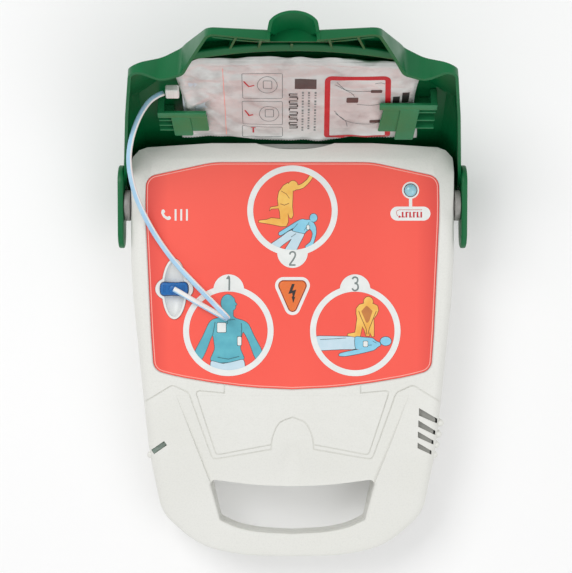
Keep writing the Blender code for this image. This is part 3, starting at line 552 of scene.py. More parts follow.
def make_ink(name, main, other, rough=0.38):
    f = Finish(name, Coat_Weight=0.1, Coat_Roughness=0.25)
    tint = f.mixed(f.spread(f.noise(120, 4), 0.3, 0.7), main, other)
    return f.done(tint, f.spread(f.noise(300, 3), 0.3, 0.7, rough - 0.05, rough + 0.07),
                  ((f.noise(1800, 1), 0.005),))


def make_lid_finish():
    """Green lid plastic with the soft flow marks of a big moulding, and lighter edges, partly rubbed by use and
    partly a painted highlight.
    """
    f = Finish("lid_plastic", Specular_IOR_Level=0.32, Coat_Weight=0.03, Coat_Roughness=0.3)
    tint = f.mixed(f.spread(f.noise(8, 3, (1, 2.4, 1)), 0.3, 0.72), colour(0, 106, 58), colour(0, 95, 51))
    tint = f.mixed(f.spread(f.noise(1000, 2), 0.5, 0.8, 0, 0.15), tint, colour(0, 84, 46))
    # Lighter green on convex edges, partly rubbing from use and partly a painted highlight.
    tint = f.mixed(f.edges(0.06), tint, colour(10, 140, 84))
    roughness = f.spread(f.noise(45, 5), 0.3, 0.7, 0.3, 0.46)
    return f.done(tint, roughness, ((f.noise(1300, 2), 0.014), (f.noise(20, 2), 0.14)))


def make_foil_finish():
    """Laminated foil film, silvery white: crumpled facets at two sizes and a ribbed heat seal round its edges."""
    f = Finish("pouch_foil", metal=0.12, Specular_IOR_Level=0.6)
    tint = f.mixed(f.spread(f.noise(30, 6), 0.35, 0.65), colour(230, 231, 229), colour(208, 206, 204))
    tint = f.mixed(f.spread(f.noise(55, 6, (1, 1.8, 1)), 0.52, 0.7, 0, 0.55), tint, colour(172, 164, 162))
    bend = f.node("ShaderNodeTexNoise", {"Vector": f.place, "Scale": 26.0, "Detail": 3.0})
    pushed = f.node("ShaderNodeVectorMath", {0: bend.outputs["Color"], 3: 0.022}, operation="SCALE").outputs[0]
    crumpled = f.node("ShaderNodeVectorMath", {0: f.place, 1: pushed}, operation="ADD").outputs[0]
    large, small = (f.node("ShaderNodeTexVoronoi", {"Vector": crumpled, "Scale": scale}).outputs["Distance"]
                    for scale in (48.0, 130.0))
    ribs = f.node("ShaderNodeTexWave", {"Vector": f.place, "Scale": 160.0, "Distortion": 0.4}, bands_direction="Y")
    seal = f.node("ShaderNodeAttribute", attribute_name="seal").outputs["Fac"]
    return f.done(tint, f.spread(f.noise(50, 5), 0.3, 0.7, 0.34, 0.5),
                  ((large, 2.2), (small, 0.35), (f.math("MULTIPLY", ribs.outputs["Fac"], seal), 0.12)))


def make_metal(name, main, other, rough, stretch=(1, 1, 30)):
    """Drawn or turned metal, with fine lines along one way and a little tarnish."""
    f = Finish(name, metal=1.0)
    tint = f.mixed(f.spread(f.noise(180, 4), 0.35, 0.7), main, other)
    lines = f.noise(900, 2, stretch)
    return f.done(tint, f.spread(lines, 0.3, 0.7, rough - 0.08, rough + 0.12), ((lines, 0.01),))


def make_board_finish():
    """A circuit board: solder mask over a maze of tracks, with small bright pads."""
    f = Finish("circuit_board")
    brick = f.node("ShaderNodeTexBrick", {"Vector": f.place, "Scale": 140.0, "Mortar Size": 0.035,
                                          "Color1": (*colour(10, 70, 40), 1), "Color2": (*colour(16, 84, 48), 1),
                                          "Mortar": (*colour(30, 112, 64), 1)})
    pads = f.node("ShaderNodeTexVoronoi", {"Vector": f.place, "Scale": 190.0, "Randomness": 0.25})
    dots = f.spread(pads.outputs["Distance"], 0.20, 0.16)
    tint = f.mixed(dots, brick.outputs["Color"], colour(200, 190, 150))
    return f.done(tint, f.spread(f.noise(120), 0.3, 0.7, 0.3, 0.5), ((brick.outputs["Fac"], 0.03),))


def make_cloth_finish():
    """A tight grey weave, the dust cloth behind the slots."""
    f = Finish("speaker_cloth")
    threads = [f.node("ShaderNodeTexWave", {"Vector": f.place, "Scale": 420.0, "Distortion": 0.6},
                      bands_direction=way).outputs["Fac"] for way in ("X", "Y")]
    weave = f.math("MULTIPLY", *threads)
    tint = f.mixed(weave, colour(150, 150, 146), colour(196, 196, 190))
    return f.done(tint, f.spread(f.noise(200), 0.3, 0.7, 0.8, 0.95), ((weave, 0.08),))


def make_lead_finish(name, main, other):
    """Soft silicone sheath with a faint extrusion grain and dust."""
    f = Finish(name, Coat_Weight=0.1, Coat_Roughness=0.3, Subsurface_Weight=0.05)
    tint = f.mixed(f.spread(f.noise(60, 4), 0.3, 0.7), main, other)
    return f.done(tint, f.spread(f.noise(300, 3), 0.3, 0.7, 0.36, 0.5), ((f.noise(900, 2), 0.012),))


def make_glow_finish():
    """The status light's clear pipe, lightly frosted, showing green."""
    f = Finish("light_pipe", Transmission_Weight=0.5, IOR=1.49)
    tint = f.mixed(f.spread(f.noise(500, 3), 0.3, 0.7), colour(190, 205, 195), colour(150, 176, 160))
    return f.done(tint, f.spread(f.noise(250), 0.3, 0.7, 0.18, 0.34), ((f.noise(700), 0.02),))


# Two tints, the roughness and any other setting of each moulded plastic. The edge setting says how far edges are
# lightened, partly as rubbing and partly as a painted highlight.
PLASTICS = {
    "housing": ((231, 231, 226), (228, 228, 222), 0.42, {"depth": 0.010, "wear": 0.08, "Specular_IOR_Level": 0.4}),
    "clip": ((40, 138, 88), (28, 124, 76), 0.34, {"wear": 0.2, "Coat_Weight": 0.1}),
    "boss": ((150, 148, 144), (132, 130, 127), 0.3, {"wear": 0.6}),
    "white": ((236, 237, 233), (226, 228, 224), 0.36, {"depth": 0.008}),
    "plug": ((0, 104, 178), (0, 88, 158), 0.3, {"wear": 0.4, "Coat_Weight": 0.15}),
    "shock": ((240, 124, 52), (232, 104, 40), 0.32, {"Coat_Weight": 0.25, "Subsurface_Weight": 0.05}),
    "repeat": ((170, 214, 226), (140, 200, 216), 0.22, {"Coat_Weight": 0.5, "Subsurface_Weight": 0.1}),
    "battery": ((64, 66, 68), (54, 56, 58), 0.5, {"depth": 0.04}),
    "black": ((34, 34, 35), (26, 26, 27), 0.45, {}),
}
METALS = {"steel": ((186, 186, 188), (160, 160, 164), 0.28), "brass": ((212, 178, 98), (190, 150, 78), 0.32)}
SHEATHS = {"gel_and_foam": ((224, 230, 236), (206, 214, 222)), "lead_blue": ((158, 202, 234), (176, 214, 238)),
           "lead_white": ((246, 244, 240), (236, 232, 230))}
INKS = {
    "ink_white": ((238, 240, 238), (228, 232, 230)), "ink_border": ((252, 176, 164), (248, 160, 148)),
    "ink_dark": ((46, 70, 74), (58, 82, 84)), "ink_brown": ((130, 62, 36), (120, 56, 34)),
    "ink_grey": ((128, 138, 136), (116, 126, 126)), "ink_teal": ((98, 186, 200), (84, 170, 188)),
    "ink_sky": ((150, 214, 236), (128, 198, 226)), "ink_pale": ((206, 226, 238), (190, 218, 230)),
    "ink_yellow": ((250, 206, 104), (240, 176, 74)), "ink_tan": ((206, 132, 62), (190, 116, 58)),
    "ink_red": ((206, 34, 44), (190, 26, 38)), "ink_black": ((34, 30, 30), (48, 42, 42)),
    "ink_umber": ((92, 74, 70), (78, 62, 60)),
}
FINISHES = {"panel": make_panel_finish(), "lid": make_lid_finish(), "foil": make_foil_finish(),
            "board": make_board_finish(), "cloth": make_cloth_finish(), "clear": make_glow_finish(),
            "rubber": moulded("rubber", colour(40, 40, 42), colour(52, 52, 54.6), 0.72, 700, 0.05, 0.3)}
for key, (main, other, rough, settings) in PLASTICS.items():
    FINISHES[key] = moulded(f"{key}_plastic", colour(*main), colour(*other), rough, **settings)
for key, (main, other, rough) in METALS.items():
    FINISHES[key] = make_metal(key, colour(*main), colour(*other), rough)
for key, (main, other) in SHEATHS.items():
    FINISHES[key] = make_lead_finish(key, colour(*main), colour(*other))
for key, (main, other) in INKS.items():
    FINISHES[key] = make_ink(key, colour(*main), colour(*other))
# A material slot's finish, where it isn't the one with the slot's own name.
SLOT_FINISHES = {"capacitor": "black", "transformer": "brass", "ribbon": "gel_and_foam", "pad": "gel_and_foam",
                 "lead": "lead_white"}


def placed(obj, name, finish, body, nodes=(), angle=32):
    """Names a piece, gives it its finish, puts it in the shared frame and lets it ride on its body."""
    obj.name = obj.data.name = name
    if finish:
        obj.data.materials.clear()
        obj.data.materials.append(FINISHES[finish])
    obj.data.shade_smooth()
    obj.data.set_sharp_from_angle(angle=math.radians(angle))
    obj.data.transform(PLACES[body])
    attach(obj, body)
    if nodes:
        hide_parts(*nodes)
    return obj


# ---------------------------------------------------------------- camera, light and floor
def make_camera():
    data = bpy.data.cameras.new("camera")
    data.sensor_fit = "VERTICAL"
    data.sensor_height = 36.0
    data.lens = CAMERA_LENS
    data.clip_end = 20.0
    camera = linked(bpy.data.objects.new("camera", data))
    camera.location = Vector(CAMERA_PLACE) * MM
    SCENE.camera = camera


def make_light(name, place, target, size, power):
    data = bpy.data.lights.new(name, "AREA")
    data.shape = "RECTANGLE"
    data.size, data.size_y = size
    data.energy = power
    light = linked(bpy.data.objects.new(name, data))
    light.location = place
    light.rotation_euler = (Vector(target) - Vector(place)).to_track_quat("-Z", "Y").to_euler()


def make_studio():
    SCENE.view_settings.view_transform = "Standard"
    world = bpy.data.worlds.new("studio")
    world.use_nodes = True
    world.node_tree.nodes["Background"].inputs["Color"].default_value = (1.0, 1.0, 1.0, 1.0)
    world.node_tree.nodes["Background"].inputs["Strength"].default_value = 0.62
    SCENE.world = world
    make_light("key", (-0.7, 0.75, 1.5), (0, 0, 0.05), (0.9, 0.9), 10.5)
    make_light("fill", (0.9, -0.5, 1.6), (0, 0, 0.05), (1.2, 1.2), 6.0)
    make_light("low", (0.0, -1.6, 0.9), (0, 0, 0.1), (1.6, 0.6), 3.0)
    floor = box((-1600, -1600, -12), (1600, 1600, 0))
    floor.name = "studio_floor"
    f = Finish("paper", Specular_IOR_Level=0.1)
    tint = f.mixed(f.spread(f.noise(3, 3), 0.3, 0.7), (0.97, 0.97, 0.97), (0.955, 0.955, 0.955))
    floor.data.materials.append(f.done(tint, f.spread(f.noise(60), 0.3, 0.7, 0.85, 0.95), ((f.noise(400), 0.02),)))


# ---------------------------------------------------------------- electrode lead, plug and neck
def lead_frames(route):
    """Points, tangents and a side direction that turns as little as it can along the route."""
    side = Vector((1, 0, 0))
    frames = []
    for k, here in enumerate(route):
        ahead = (route[min(k + 1, len(route) - 1)] - route[max(k - 1, 0)]).normalized()
        side = (side - ahead * side.dot(ahead)).normalized()
        level = ahead.cross(Vector((0, 0, 1)))
        if level.length > 0.25:
            level = level.normalized() * (1 if level.dot(side) > 0 else -1)
            side = side.lerp(level, 0.18).normalized()
            side = (side - ahead * side.dot(ahead)).normalized()
        frames.append((here, side, ahead.cross(side)))
    return frames


def make_lead():
    """Two strands side by side in one flat sheath, one white and one light blue."""
    route = smooth_route(LEAD_ROUTE, 10)
    radius, spread, around = 1.08, 0.92, 22
    bm = bmesh.new()
    rings = []
    for here, side, up in lead_frames(route):
        ring = []
        for k in range(around):
            a = 2 * math.pi * (k + 0.5) / around
            across = radius * math.cos(a) + (spread if math.cos(a) > 0 else -spread)
            ring.append(bm.verts.new((here + side * across + up * radius * math.sin(a)) * MM))
        rings.append(ring)
    for a, b in zip(rings, rings[1:]):
        for k in range(around):
            j = (k + 1) % around
            face = bm.faces.new((a[k], a[j], b[j], b[k]))
            face.material_index = 1 if math.cos(2 * math.pi * (k + 1) / around) > 0.001 else 0
    bm.faces.new(rings[0])
    bm.faces.new(rings[-1])
    lead = from_bmesh(bm)
    lead.data.materials.append(FINISHES["lead_blue"])
    lead.data.materials.append(FINISHES["lead_white"])
    lead.name = lead.data.name = "electrode_lead"
    lead.data.shade_smooth()
    lead.matrix_world = DEVICE
    path = [DEVICE @ (p * MM) for p in route]
    length = sum((b - a).length for a, b in zip(path, path[1:]))
    plug = make_plug()
    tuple(path[0])
    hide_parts("electrode_cable")
    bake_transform(lead)
    return lead


def plug_outline(grow):
    """The plug's flat-ended oval, slightly waisted on its long sides."""
    x, y = SOCKET
    half = [(9.6, -5.0, 3.6), (10.5, 0, 20), (9.6, 5.0, 3.6), (0, 4.6, 60)]
    points = half + [(-px, py, r) for px, py, r in reversed(half[:3])] + [(0, -4.6, 60)]
    return inset(rounded([(x + px, y + py, r) for px, py, r in points]), -grow)


def make_plug():
    """Blue plug with a dark parting ring, a soft crown and a boot round the end of the lead."""
    x, y = SOCKET
    lower = plate(plug_outline(0), SOCKET_FLOOR + GAP, 66.2)
    crown = bevel(plate(plug_outline(-0.3), 65.8, PLUG_TOP), 1.0, 4)
    body = join(lower, crown)
    body = cut(body, cut(plate(plug_outline(2), 64.9, 65.3), plate(plug_outline(-0.5), 60, 70)))
    for pin in (-4, 4):
        body = join(body, cylinder((x + pin, y, 55.5), 1.3, 8, segments=20))
    boot = capsule((x - 0.5, y - 0.2, 3.0), (x + 3.5, y - 2.4, 2.6))
    body = join(body, bevel(plate(boot, PLUG_TOP - 0.6, PLUG_TOP + 1.6), 0.8, 3))
    for reach in (-7.6, -6.4, 6.4, 7.6):
        body = cut(body, box((x + reach - 0.25, y - 2.6, PLUG_TOP - 0.3), (x + reach + 0.25, y + 2.6, 75)))
    return placed(body, "plug_body", "plug", "base", ["electrode_plug"])


def make_neck():
    """White square sleeve that grips the lead where it leaves the pouch."""
    low, high = (-89.8, -102, 80.6), (-80.2, -92, POUCH_Z[0] - GAP)
    neck = bevel(box(low, high), 1.2, 4)
    for k in range(3):
        x = low[0] + 2.0 + 1.6 * k
        core = box((x - 1, low[1] + 0.4, low[2] + 0.4), (x + 2, -92.4, 85.7))
        neck = cut(neck, cut(box((x, -104, 78), (x + 0.6, -90, 90)), core))
    placed(neck, "lead_sleeve", "white", "lid", ["pouch_neck"])


# ---------------------------------------------------------------- housings
BODY, HAND_GAP, PANEL = mirrored(BODY_HALF), mirrored(HAND_GAP_HALF), mirrored(PANEL_HALF)


def housing_blank(low, high, round_off):
    blank = bevel(plate(BODY, low, high), round_off, 7)
    return bevel(cut(blank, plate(HAND_GAP, low - 5, high + 5)), GAP_ROUND, 5)


def housing_cavity(low, high):
    hollow = cut(plate(inset(BODY, 4), low, high), plate(inset(HAND_GAP, -3.4), low - 5, high + 5))
    hollow = bevel(hollow, 4, 2)
    limit = join(turned_end(CAVITY_END), box((-130, -280, -5), (130, END_REBATE_Y - 4, 90)),
                 box((-130, -280, HINGE_Z), (130, 0, 90)))
    return common(hollow, limit)


def outside_rounded_end():
    block = join(box((-140, END_REBATE_Y, -20), (140, 90, HINGE_Z)), box((-140, 0, HINGE_Z - 5), (140, 90, 130)))
    return cut(block, turned_end(BASE_END))


def socket_shape(grow, low, high):
    tall = plate(ellipse(SOCKET, 9.2 + grow, 22.4 + grow), low, high)
    return join(tall, plate(ellipse(SOCKET, 14 + grow, 9.4 + grow), low, high))


def shock_outline(grow):
    triangle = rounded([(-11.8, 10.4, 3.4), (11.8, 10.4, 3.4), (0, -16.4, 3)])
    return [p + Vector(SHOCK_BUTTON) for p in inset(triangle, -grow)]


def slanted_bar(centre, length, width, angle, low, high):
    return moved(box((-length / 2, -width / 2, low), (length / 2, width / 2, high)), (*centre, 0), angle)


def end_facets():
    """The chamfer along the hinge end and the facets at its two corners."""
    yield above_plane((-50, 34.2, RIM_Z), (50, 34.2, RIM_Z), (0, 46.5, 58.6))
    for side in (-1, 1):
        yield above_plane((side * 102.3, 40, RIM_Z), (side * 106.5, 16, RIM_Z), (side * 120, 44, 56.5))


def arm_step():
    """The lower ground between the two arms, which deepens towards the hand gap."""
    corners = [(-86, -141.5, 63.8), (-59.4, -212, 59.6), (59.4, -212, 59.6), (86, -141.5, 63.8)]
    return lofted(corners, [(x * 1.02, y, 68) for x, y, _ in corners])


def seat_lines():
    """Where the closed lid's edge and its tongue meet the body: an outer groove and an inner one."""
    arch = smooth_route([(-16, -182), (-14.6, -172), (-9.6, -162), (0, -157.6)], 6)
    left = [(-118, -151.4), (-90.5, -134.6), (-88.8, -134.2), (-87, -134.6), (-78, -138.8), (-76.3, -140.6),
            (-60.2, -187.3), (-58.8, -188.9), (-56.4, -189.2)] + arch
    outer = left + [(-x, y) for x, y in reversed(left[:-1])]
    yield stroke(outer, 1.0)
    inner = [(50.4, -133), (50.4, -139.6), (69, -137.9), (70.9, -138.9), (71, -140.6), (57.4, -184), (56.2, -185.6),
             (54, -185.8), (15.6, -178.4)]
    for side in (-1, 1):
        yield stroke([(side * x, y) for x, y in inner], 0.9)


def add_seat(shell):
    uncut = copied(shell)
    for line in seat_lines():
        shell = cut(shell, cut(plate(line, 55, 70), copied(uncut, (0, 0, -0.8))))
    bpy.data.objects.remove(uncut)
    for centre, radii in (((0, -200, 68.6), (13.5, 31, 10.4)), ((0, -178, 67.2), (15, 19, 5.4))):
        shell = cut(shell, ellipsoid(centre, radii))
    return shell


def make_upper_housing():
    shell = cut(housing_blank(0, RIM_Z, TOP_ROUND), *end_facets(), arm_step())
    shell = add_seat(shell)
    for x, y in ((110.2, -162.6), (108.8, -171.0), (107.2, -178.9), (105.8, -186.6), (-106, -186.6)):
        shell = join(shell, ellipsoid((x, y, 42), (2.9, 2.6, 3), 14.5, 24))
    floor_of_seat = [(-81, -138, 56.5), (-66, -207, 54.5), (66, -207, 54.5), (81, -138, 56.5)]
    cavity = cut(housing_cavity(-6, RIM_Z - 4), lofted(floor_of_seat, [(x, y, 62) for x, y, _ in floor_of_seat]))
    shell = cut(shell, cavity, box((-150, -300, -10), (150, 100, SPLIT_Z + SPLIT_GAP / 2)))
    pocket = inset(PANEL, -GAP)
    shell = cut(shell, plate(pocket, PANEL_FLOOR, 70),
                lofted(at_height(inset(PANEL, -0.2), 63.1), at_height(inset(PANEL, -1.7), 64.6)))
    shell = cut(shell, socket_shape(GAP, *THROUGH_TOP), plate(shock_outline(BUTTON_CLEARANCE), *THROUGH_TOP),
                cylinder((*REPEAT_BUTTON, 60), REPEAT_RADIUS + BUTTON_CLEARANCE, 20))
    recess = ellipse((2, 61.5), 45, 20.5, 96)
    shell = cut(shell, plate(recess, 47, 80), lofted(at_height(recess, 61), at_height(inset(recess, -4), 65)),
                outside_rounded_end())
    for left, right, (a, b), (c, d) in SPEAKER_SLOTS:
        shell = cut(shell, plate([(left, b), (right, d), (right, c), (left, a)], *THROUGH_TOP))
    shell = cut(shell, slanted_bar(STATUS_SLOT, STATUS_LENGTH, SLOT_WIDTH, -SLOT_ANGLE, 46, 70))
    for side in (-1, 1):
        shell = cut(shell, cylinder((side * 118, 0, HINGE_Z), SPIGOT_RADIUS + GAP, 16, "X"))
    shell = warp(shell, SLOPE_START, -259, 6, base_height)
    placed(shell, "housing_top", "housing", "base", ["upper_housing"], 26)


def make_lower_housing():
    shell = cut(housing_blank(BASE_BOTTOM, 60, BOTTOM_ROUND), housing_cavity(BASE_BOTTOM + 3.4, 70),
                box((-150, -300, SPLIT_Z - SPLIT_GAP / 2), (150, 100, 100)))
    low, high = BATTERY_Y
    shell = join(shell, box((-BATTERY_X - 3.4, low - 3.4, 3), (BATTERY_X + 3.4, high + 3.4, BATTERY_TOP + 2.4)))
    for x, y in SCREWS:
        shell = join(shell, cylinder((x, y, 18.8), 4.8, 32.6, segments=24))
    shell = cut(shell, outside_rounded_end())
    shell = cut(shell, box((-BATTERY_X - 0.4, low - 0.4, -5), (BATTERY_X + 0.4, high + 0.4, BATTERY_TOP + 0.4)))
    label = rectangle(-62, -104, 62, -52, 4)
    thumb = ellipse((0, high + 3), 15, 6)
    shell = cut(shell, plate(label, 0, BASE_BOTTOM + 0.5), plate(thumb, 0, BASE_BOTTOM + 2.2))
    for x, y in SCREWS:
        shell = cut(shell, cylinder((x, y, 20), 1.9, 60, segments=24), cylinder((x, y, 2), 3.7, 20, segments=32))
    for x, y in FEET:
        shell = cut(shell, cylinder((x, y, 0), 8.4, 5.4, segments=48))
    shell = warp(shell, UNDERSIDE_START, -262, 6, base_height)
    placed(shell, "housing_bottom", "housing", "base", ["lower_housing"], 26)


def make_dust_cloth():
    """The grey cloth that shows through the speaker slots and lies under the slotted roof."""
    top, bottom = SPEAKER_SLOTS[0], SPEAKER_SLOTS[-1]
    corners = [(bottom[0] - 2, bottom[3][1] - 1), (bottom[1] - 1.4, bottom[3][1] - 1),
               (top[1] - 1.4, top[3][1] + 3), (top[1] - 5, top[2][0] + 1), (top[0] - 2, top[2][0] + 2)]
    cloth = warp(bevel(plate(corners, 59.0, 59.6), 0.15, 1), SLOPE_START, -259, 3, base_height)
    placed(cloth, "speaker_cloth", "cloth", "base")


# ---------------------------------------------------------------- instruction panel and its prints
def make_panel():
    film = plate(PANEL, PANEL_FLOOR + GAP, PANEL_TOP)
    film = cut(film, socket_shape(GAP, *THROUGH_TOP), plate(shock_outline(BUTTON_CLEARANCE), *THROUGH_TOP),
               cylinder((*REPEAT_BUTTON, 60), REPEAT_RADIUS + BUTTON_CLEARANCE, 20))
    placed(film, "instruction_panel", "panel", "base", ["panel_overlay"])


def printed(name, finish, shapes, level):
    """Flat inks laid on the panel. Each level stands a few hundredths of a millimetre above the last."""
    top = PANEL_TOP + 0.03 + 0.03 * level
    inks = grouped([plate(shape, PANEL_TOP - 0.05, top + 0.004 * k) for k, shape in enumerate(shapes)])
    return placed(inks, name, finish, "base")


RING_OUTER, RING_MIDDLE, RING_INNER, TAB_RADIUS = 33.5, 31.3, 29.1, 11.3
STEPS = {1: ((-47.5, -93.5), (-47.2, -63.0)), 2: ((0.0, -4.5), (0.0, -35.6)), 3: ((46.5, -93.6), (46.4, -63.0))}
DIGITS = {
    1: [[(-1.6, 3.6), (0.3, 4.9), (0.3, -4.9)]],
    2: [[(-2.1, 2.9), (-1.5, 4.3), (0, 4.9), (1.6, 4.3), (2.1, 2.8), (1.7, 1.2), (0.2, -1.4), (-1.7, -4.0),
         (-2.1, -4.9)], [(-2.5, -4.9), (2.3, -4.9)]],
    3: [[(-2.0, 3.4), (-1.2, 4.6), (0.2, 4.9), (1.6, 4.1), (1.9, 2.6), (1.3, 1.0), (-0.4, 0.4)],
        [(-0.4, 0.4), (1.5, -0.3), (2.2, -2.0), (1.9, -3.9), (0.4, -4.9), (-1.2, -4.7), (-2.2, -3.3)]],
}

# Figures of a person giving first aid and of a person lying down, as outlines round each ring's middle.
TORSO = [(-3.2, 16), (-3.6, 11.4), (-7, 9.6), (-11.4, 8.4), (-14.6, 5.2), (-18.8, -4), (-25.5, -17.5), (-21, -22.5),
         (-16.8, -15.4), (-11.9, -3), (-10.4, -9.4), (-10.2, -14), (-12.6, -23.2), (11, -22.2), (8.9, -13.6),
         (9.3, -6.4), (11, -0.6), (15.2, -8), (20.6, -21.5), (25.4, -16.5), (19.2, -4.2), (15, 4.6), (11.2, 7.4),
         (6, 9), (3.6, 11), (3.2, 16)]
FACE = [(2, 25.6), (4.4, 23.8), (4.8, 21.6), (6.3, 19.5), (5.2, 18.8), (5.3, 17.2), (4.2, 15.6), (2.2, 14.6),
        (-1, 15), (-1, 24)]
TROUSERS = [(-12.4, -22.4), (-13.2, -27), (-12, -31), (10, -31), (12.2, -26.6), (11, -21.4), (5, -22.6), (-4, -24.4)]
KNEELER = [(0.3, 14.2), (0.1, 9), (-0.2, 3.4), (0.5, -3.4), (-0.6, -5.8), (-2.2, -5.2), (-3.4, -1.6), (-3.2, -8.4),
           (-4.6, -11.6), (-8.4, -11.6), (-16, -10), (-24.9, -8.6), (-24.8, -7.4), (-19, -6.7), (-15.6, -5.4),
           (-9, -6.2), (-9.4, -1), (-10.2, 1.6), (-15.6, 1.4), (-16.8, 0.2), (-16.2, 2.4), (-13, 3), (-10.4, 3.6),
           (-11, 8.6), (-10, 14), (-6.6, 18.6), (-3.6, 20.4), (-0.6, 18.2)]
RAISED_ARM = [(2.6, 18.2), (6.6, 19.6), (10.8, 23), (13.4, 26.6), (15.4, 25.6), (12.4, 21), (8, 17), (3, 15.6)]
LYING = [(12.8, -6.8), (10.4, -6.9), (7.2, -6.4), (4, -7.6), (-2.8, -11.8), (-9.6, -16), (-10, -17.8), (-8.4, -18.2),
         (-2.6, -14.6), (2, -12.2), (0, -14.8), (8.6, -16.8), (10.2, -15.2), (13.2, -13.8), (15, -17.2), (13.4, -23),
         (9.6, -26.4), (11.2, -28.4), (14.6, -26.4), (17.4, -17.4), (17.2, -12.2), (15.6, -9), (14.6, -8.4)]
LYING_LEGS = [(0.6, -14.4), (-3.4, -15.8), (-9, -20), (-17, -26), (-12, -31), (-8.6, -26.4), (-2, -21.6),
              (-0.8, -21.4), (-6.4, -31), (1.4, -31), (5.4, -24), (8.8, -16.2)]
PATIENT = [(18.2, -8.8), (15.4, -7.6), (12.6, -5.4), (6, -4.8), (0, -4.6), (0.4, -13.2), (6, -13), (-5.4, -15.2),
           (-11.4, -16.8), (-11.8, -18.4), (-7, -18.6), (3, -16.8), (13.6, -14.2), (16.4, -12), (18.6, -10.6)]
PATIENT_LEGS = [(-32, -4.4), (-12, -4.1), (0.2, -4.6), (0.8, -8), (0.5, -13.2), (-10, -13.6), (-32, -14)]
RESCUER = [(6.4, 20.4), (3, 19.4), (0.8, 16.6), (0.7, 13), (1.4, 9.4), (0.4, 2), (-0.2, -1.2), (-5.4, -2.2),
           (-5.8, -3.4), (0.6, -4.6), (3.6, -4.2), (5.2, 3.4), (6.8, 0.6), (8, -3.6), (10.4, -3.8),
           (10.6, -0.6), (12.4, -4.2), (13.8, -4), (13.8, 4), (13.6, 9), (15.8, 12),
           (17.2, 15.4), (16.4, 18.6), (13.6, 20)]
ARMS = [[(2.6, 14.8), (3.6, 11.8), (8.2, 1.2), (8.2, -2.6)], [(15.6, 14.6), (14.2, 11.4), (10.4, 1.8), (9.4, -2.6)]]


def shifted(points, centre):
    return [Vector((x + centre[0], y + centre[1])) for x, y in points]


def oriented(points):
    points = [Vector(p) for p in points]
    area = sum(a.x * b.y - a.y * b.x for a, b in zip(points, points[1:] + points[:1]))
    return points if area > 0 else points[::-1]


def soft(points, steps=3):
    """A closed outline with its corners eased."""
    points = oriented(points)
    loop = [points[-1]] + points + points[:2]
    eased = []
    for a, b, c, d in zip(loop, loop[1:], loop[2:], loop[3:]):
        for k in range(steps):
            t = k / steps
            eased.append(0.5 * (2 * b + (c - a) * t * 0.7 + (2 * a - 5 * b + 4 * c - d) * t ** 2 * 0.7
                                + (3 * b - a - 3 * c + d) * t ** 3 * 0.7)
                         + 0.3 * ((c - b) * t))
    return eased


def inside_ring(points, centre):
    """The outline pulled in wherever it would pass under the ring's far side."""
    centre = Vector(centre)
    return [centre + (p - centre) * min(1, RING_MIDDLE / max((p - centre).length, 0.1)) for p in points]


def draw_figures():
    """The three pictograms: dark outlines under plain colours, then the small details.

    Figures given as plain points have their corners eased, and figures given as vectors keep them."""
    one, two, three = (STEPS[k][0] for k in (1, 2, 3))
    layers = {"ink_teal": [(TORSO, one), (ellipse((-0.4, 20.6), 5.0, 6.2, 28), one), (FACE, one)],
              "ink_pale": [(TROUSERS, one), (LYING_LEGS, two), (PATIENT_LEGS, three)],
              "ink_yellow": [(oriented(KNEELER), two), (RAISED_ARM, two), (ellipse((0.4, 18.4), 3.5, 3.7, 24), two),
                             (oriented(RESCUER), three), (ellipse((9.7, 21.6), 3.4, 3.7, 24), three)],
              "ink_sky": [(LYING, two), (ellipse((15.6, -5.3), 2.7, 3.0, 24), two), (PATIENT, three),
                          (ellipse((22.6, -7.6), 4.0, 3.2, 24), three)]}
    for level, (finish, figures) in enumerate(layers.items()):
        outlines = []
        for points, centre in figures:
            shape = points if isinstance(points[0], Vector) else soft(points)
            outlines.append(inside_ring(shifted(shape, centre), centre))
        shadow = "ink_brown" if finish == "ink_yellow" else "ink_dark"
        printed(f"figure_lines_{level + 1}", shadow, [inset(o, -0.38) for o in outlines], 2 * level)
        printed(f"figure_fill_{level + 1}", finish, outlines, 2 * level + 1)
    marks = [stroke(shifted(line, three), 0.45) for line in ARMS]
    marks += [stroke(shifted([(-9, 5), (-6, 4), (-2.6, 5.4)], two), 0.4),
              stroke(shifted([(-8.4, 14.6), (-4.6, 12.4), (-2.2, 9)], two), 0.35)]
    printed("figure_folds_1", "ink_brown", marks, 8)
    chest = rounded([(4.4, 14.6, 1), (8.4, 19, 1), (12.8, 14.8, 1), (10.4, 7.4, 1), (8.4, 5.4, 1)])
    printed("figure_chest", "ink_tan", [shifted(chest, three)], 8)
    lines = [stroke(shifted(line, one), 0.3) for line in
             ([(-9.8, 6.6), (-10.6, 2), (-11.6, -3)], [(9.6, 5.6), (9.9, 1), (9.4, -6)],
              [(-4, 8.8), (0.6, 8), (5, 8.4)], [(-1, 8), (-0.6, 5)], [(-8, -19.6), (0, -21), (8, -19)])]
    lines += [stroke(shifted(line, two), 0.3) for line in
              ([(12.4, -8.6), (11, -11), (8.8, -14.6)], [(4, -9.6), (1.6, -12.2)], [(2.6, -17), (-1, -19.6)])]
    lines += [stroke(shifted(line, three), 0.3) for line in
              ([(-26, -6.4), (-14, -5.8), (-7, -5.2)], [(7, -10.8), (12.4, -10.4)], [(13, -7.6), (15.6, -9)])]
    printed("figure_folds_2", "ink_dark", lines, 9)
    pads = [(one, -5.0, 2.4, 3.2, 3.5), (one, 8.2, -7.6, 1.4, 3.2), (two, 11.6, -12.4, 1.0, 1.6),
            (three, 7.6, -9.6, 1.6, 2.0)]
    for name, finish, grow, level in (("pad_marks_line", "ink_dark", 0.3, 10), ("pad_marks", "ink_white", 0.0, 11)):
        printed(name, finish, [rectangle(c[0] + x - w - grow, c[1] + y - h - grow, c[0] + x + w + grow,
                                         c[1] + y + h + grow, 0.8) for c, x, y, w, h in pads], level)


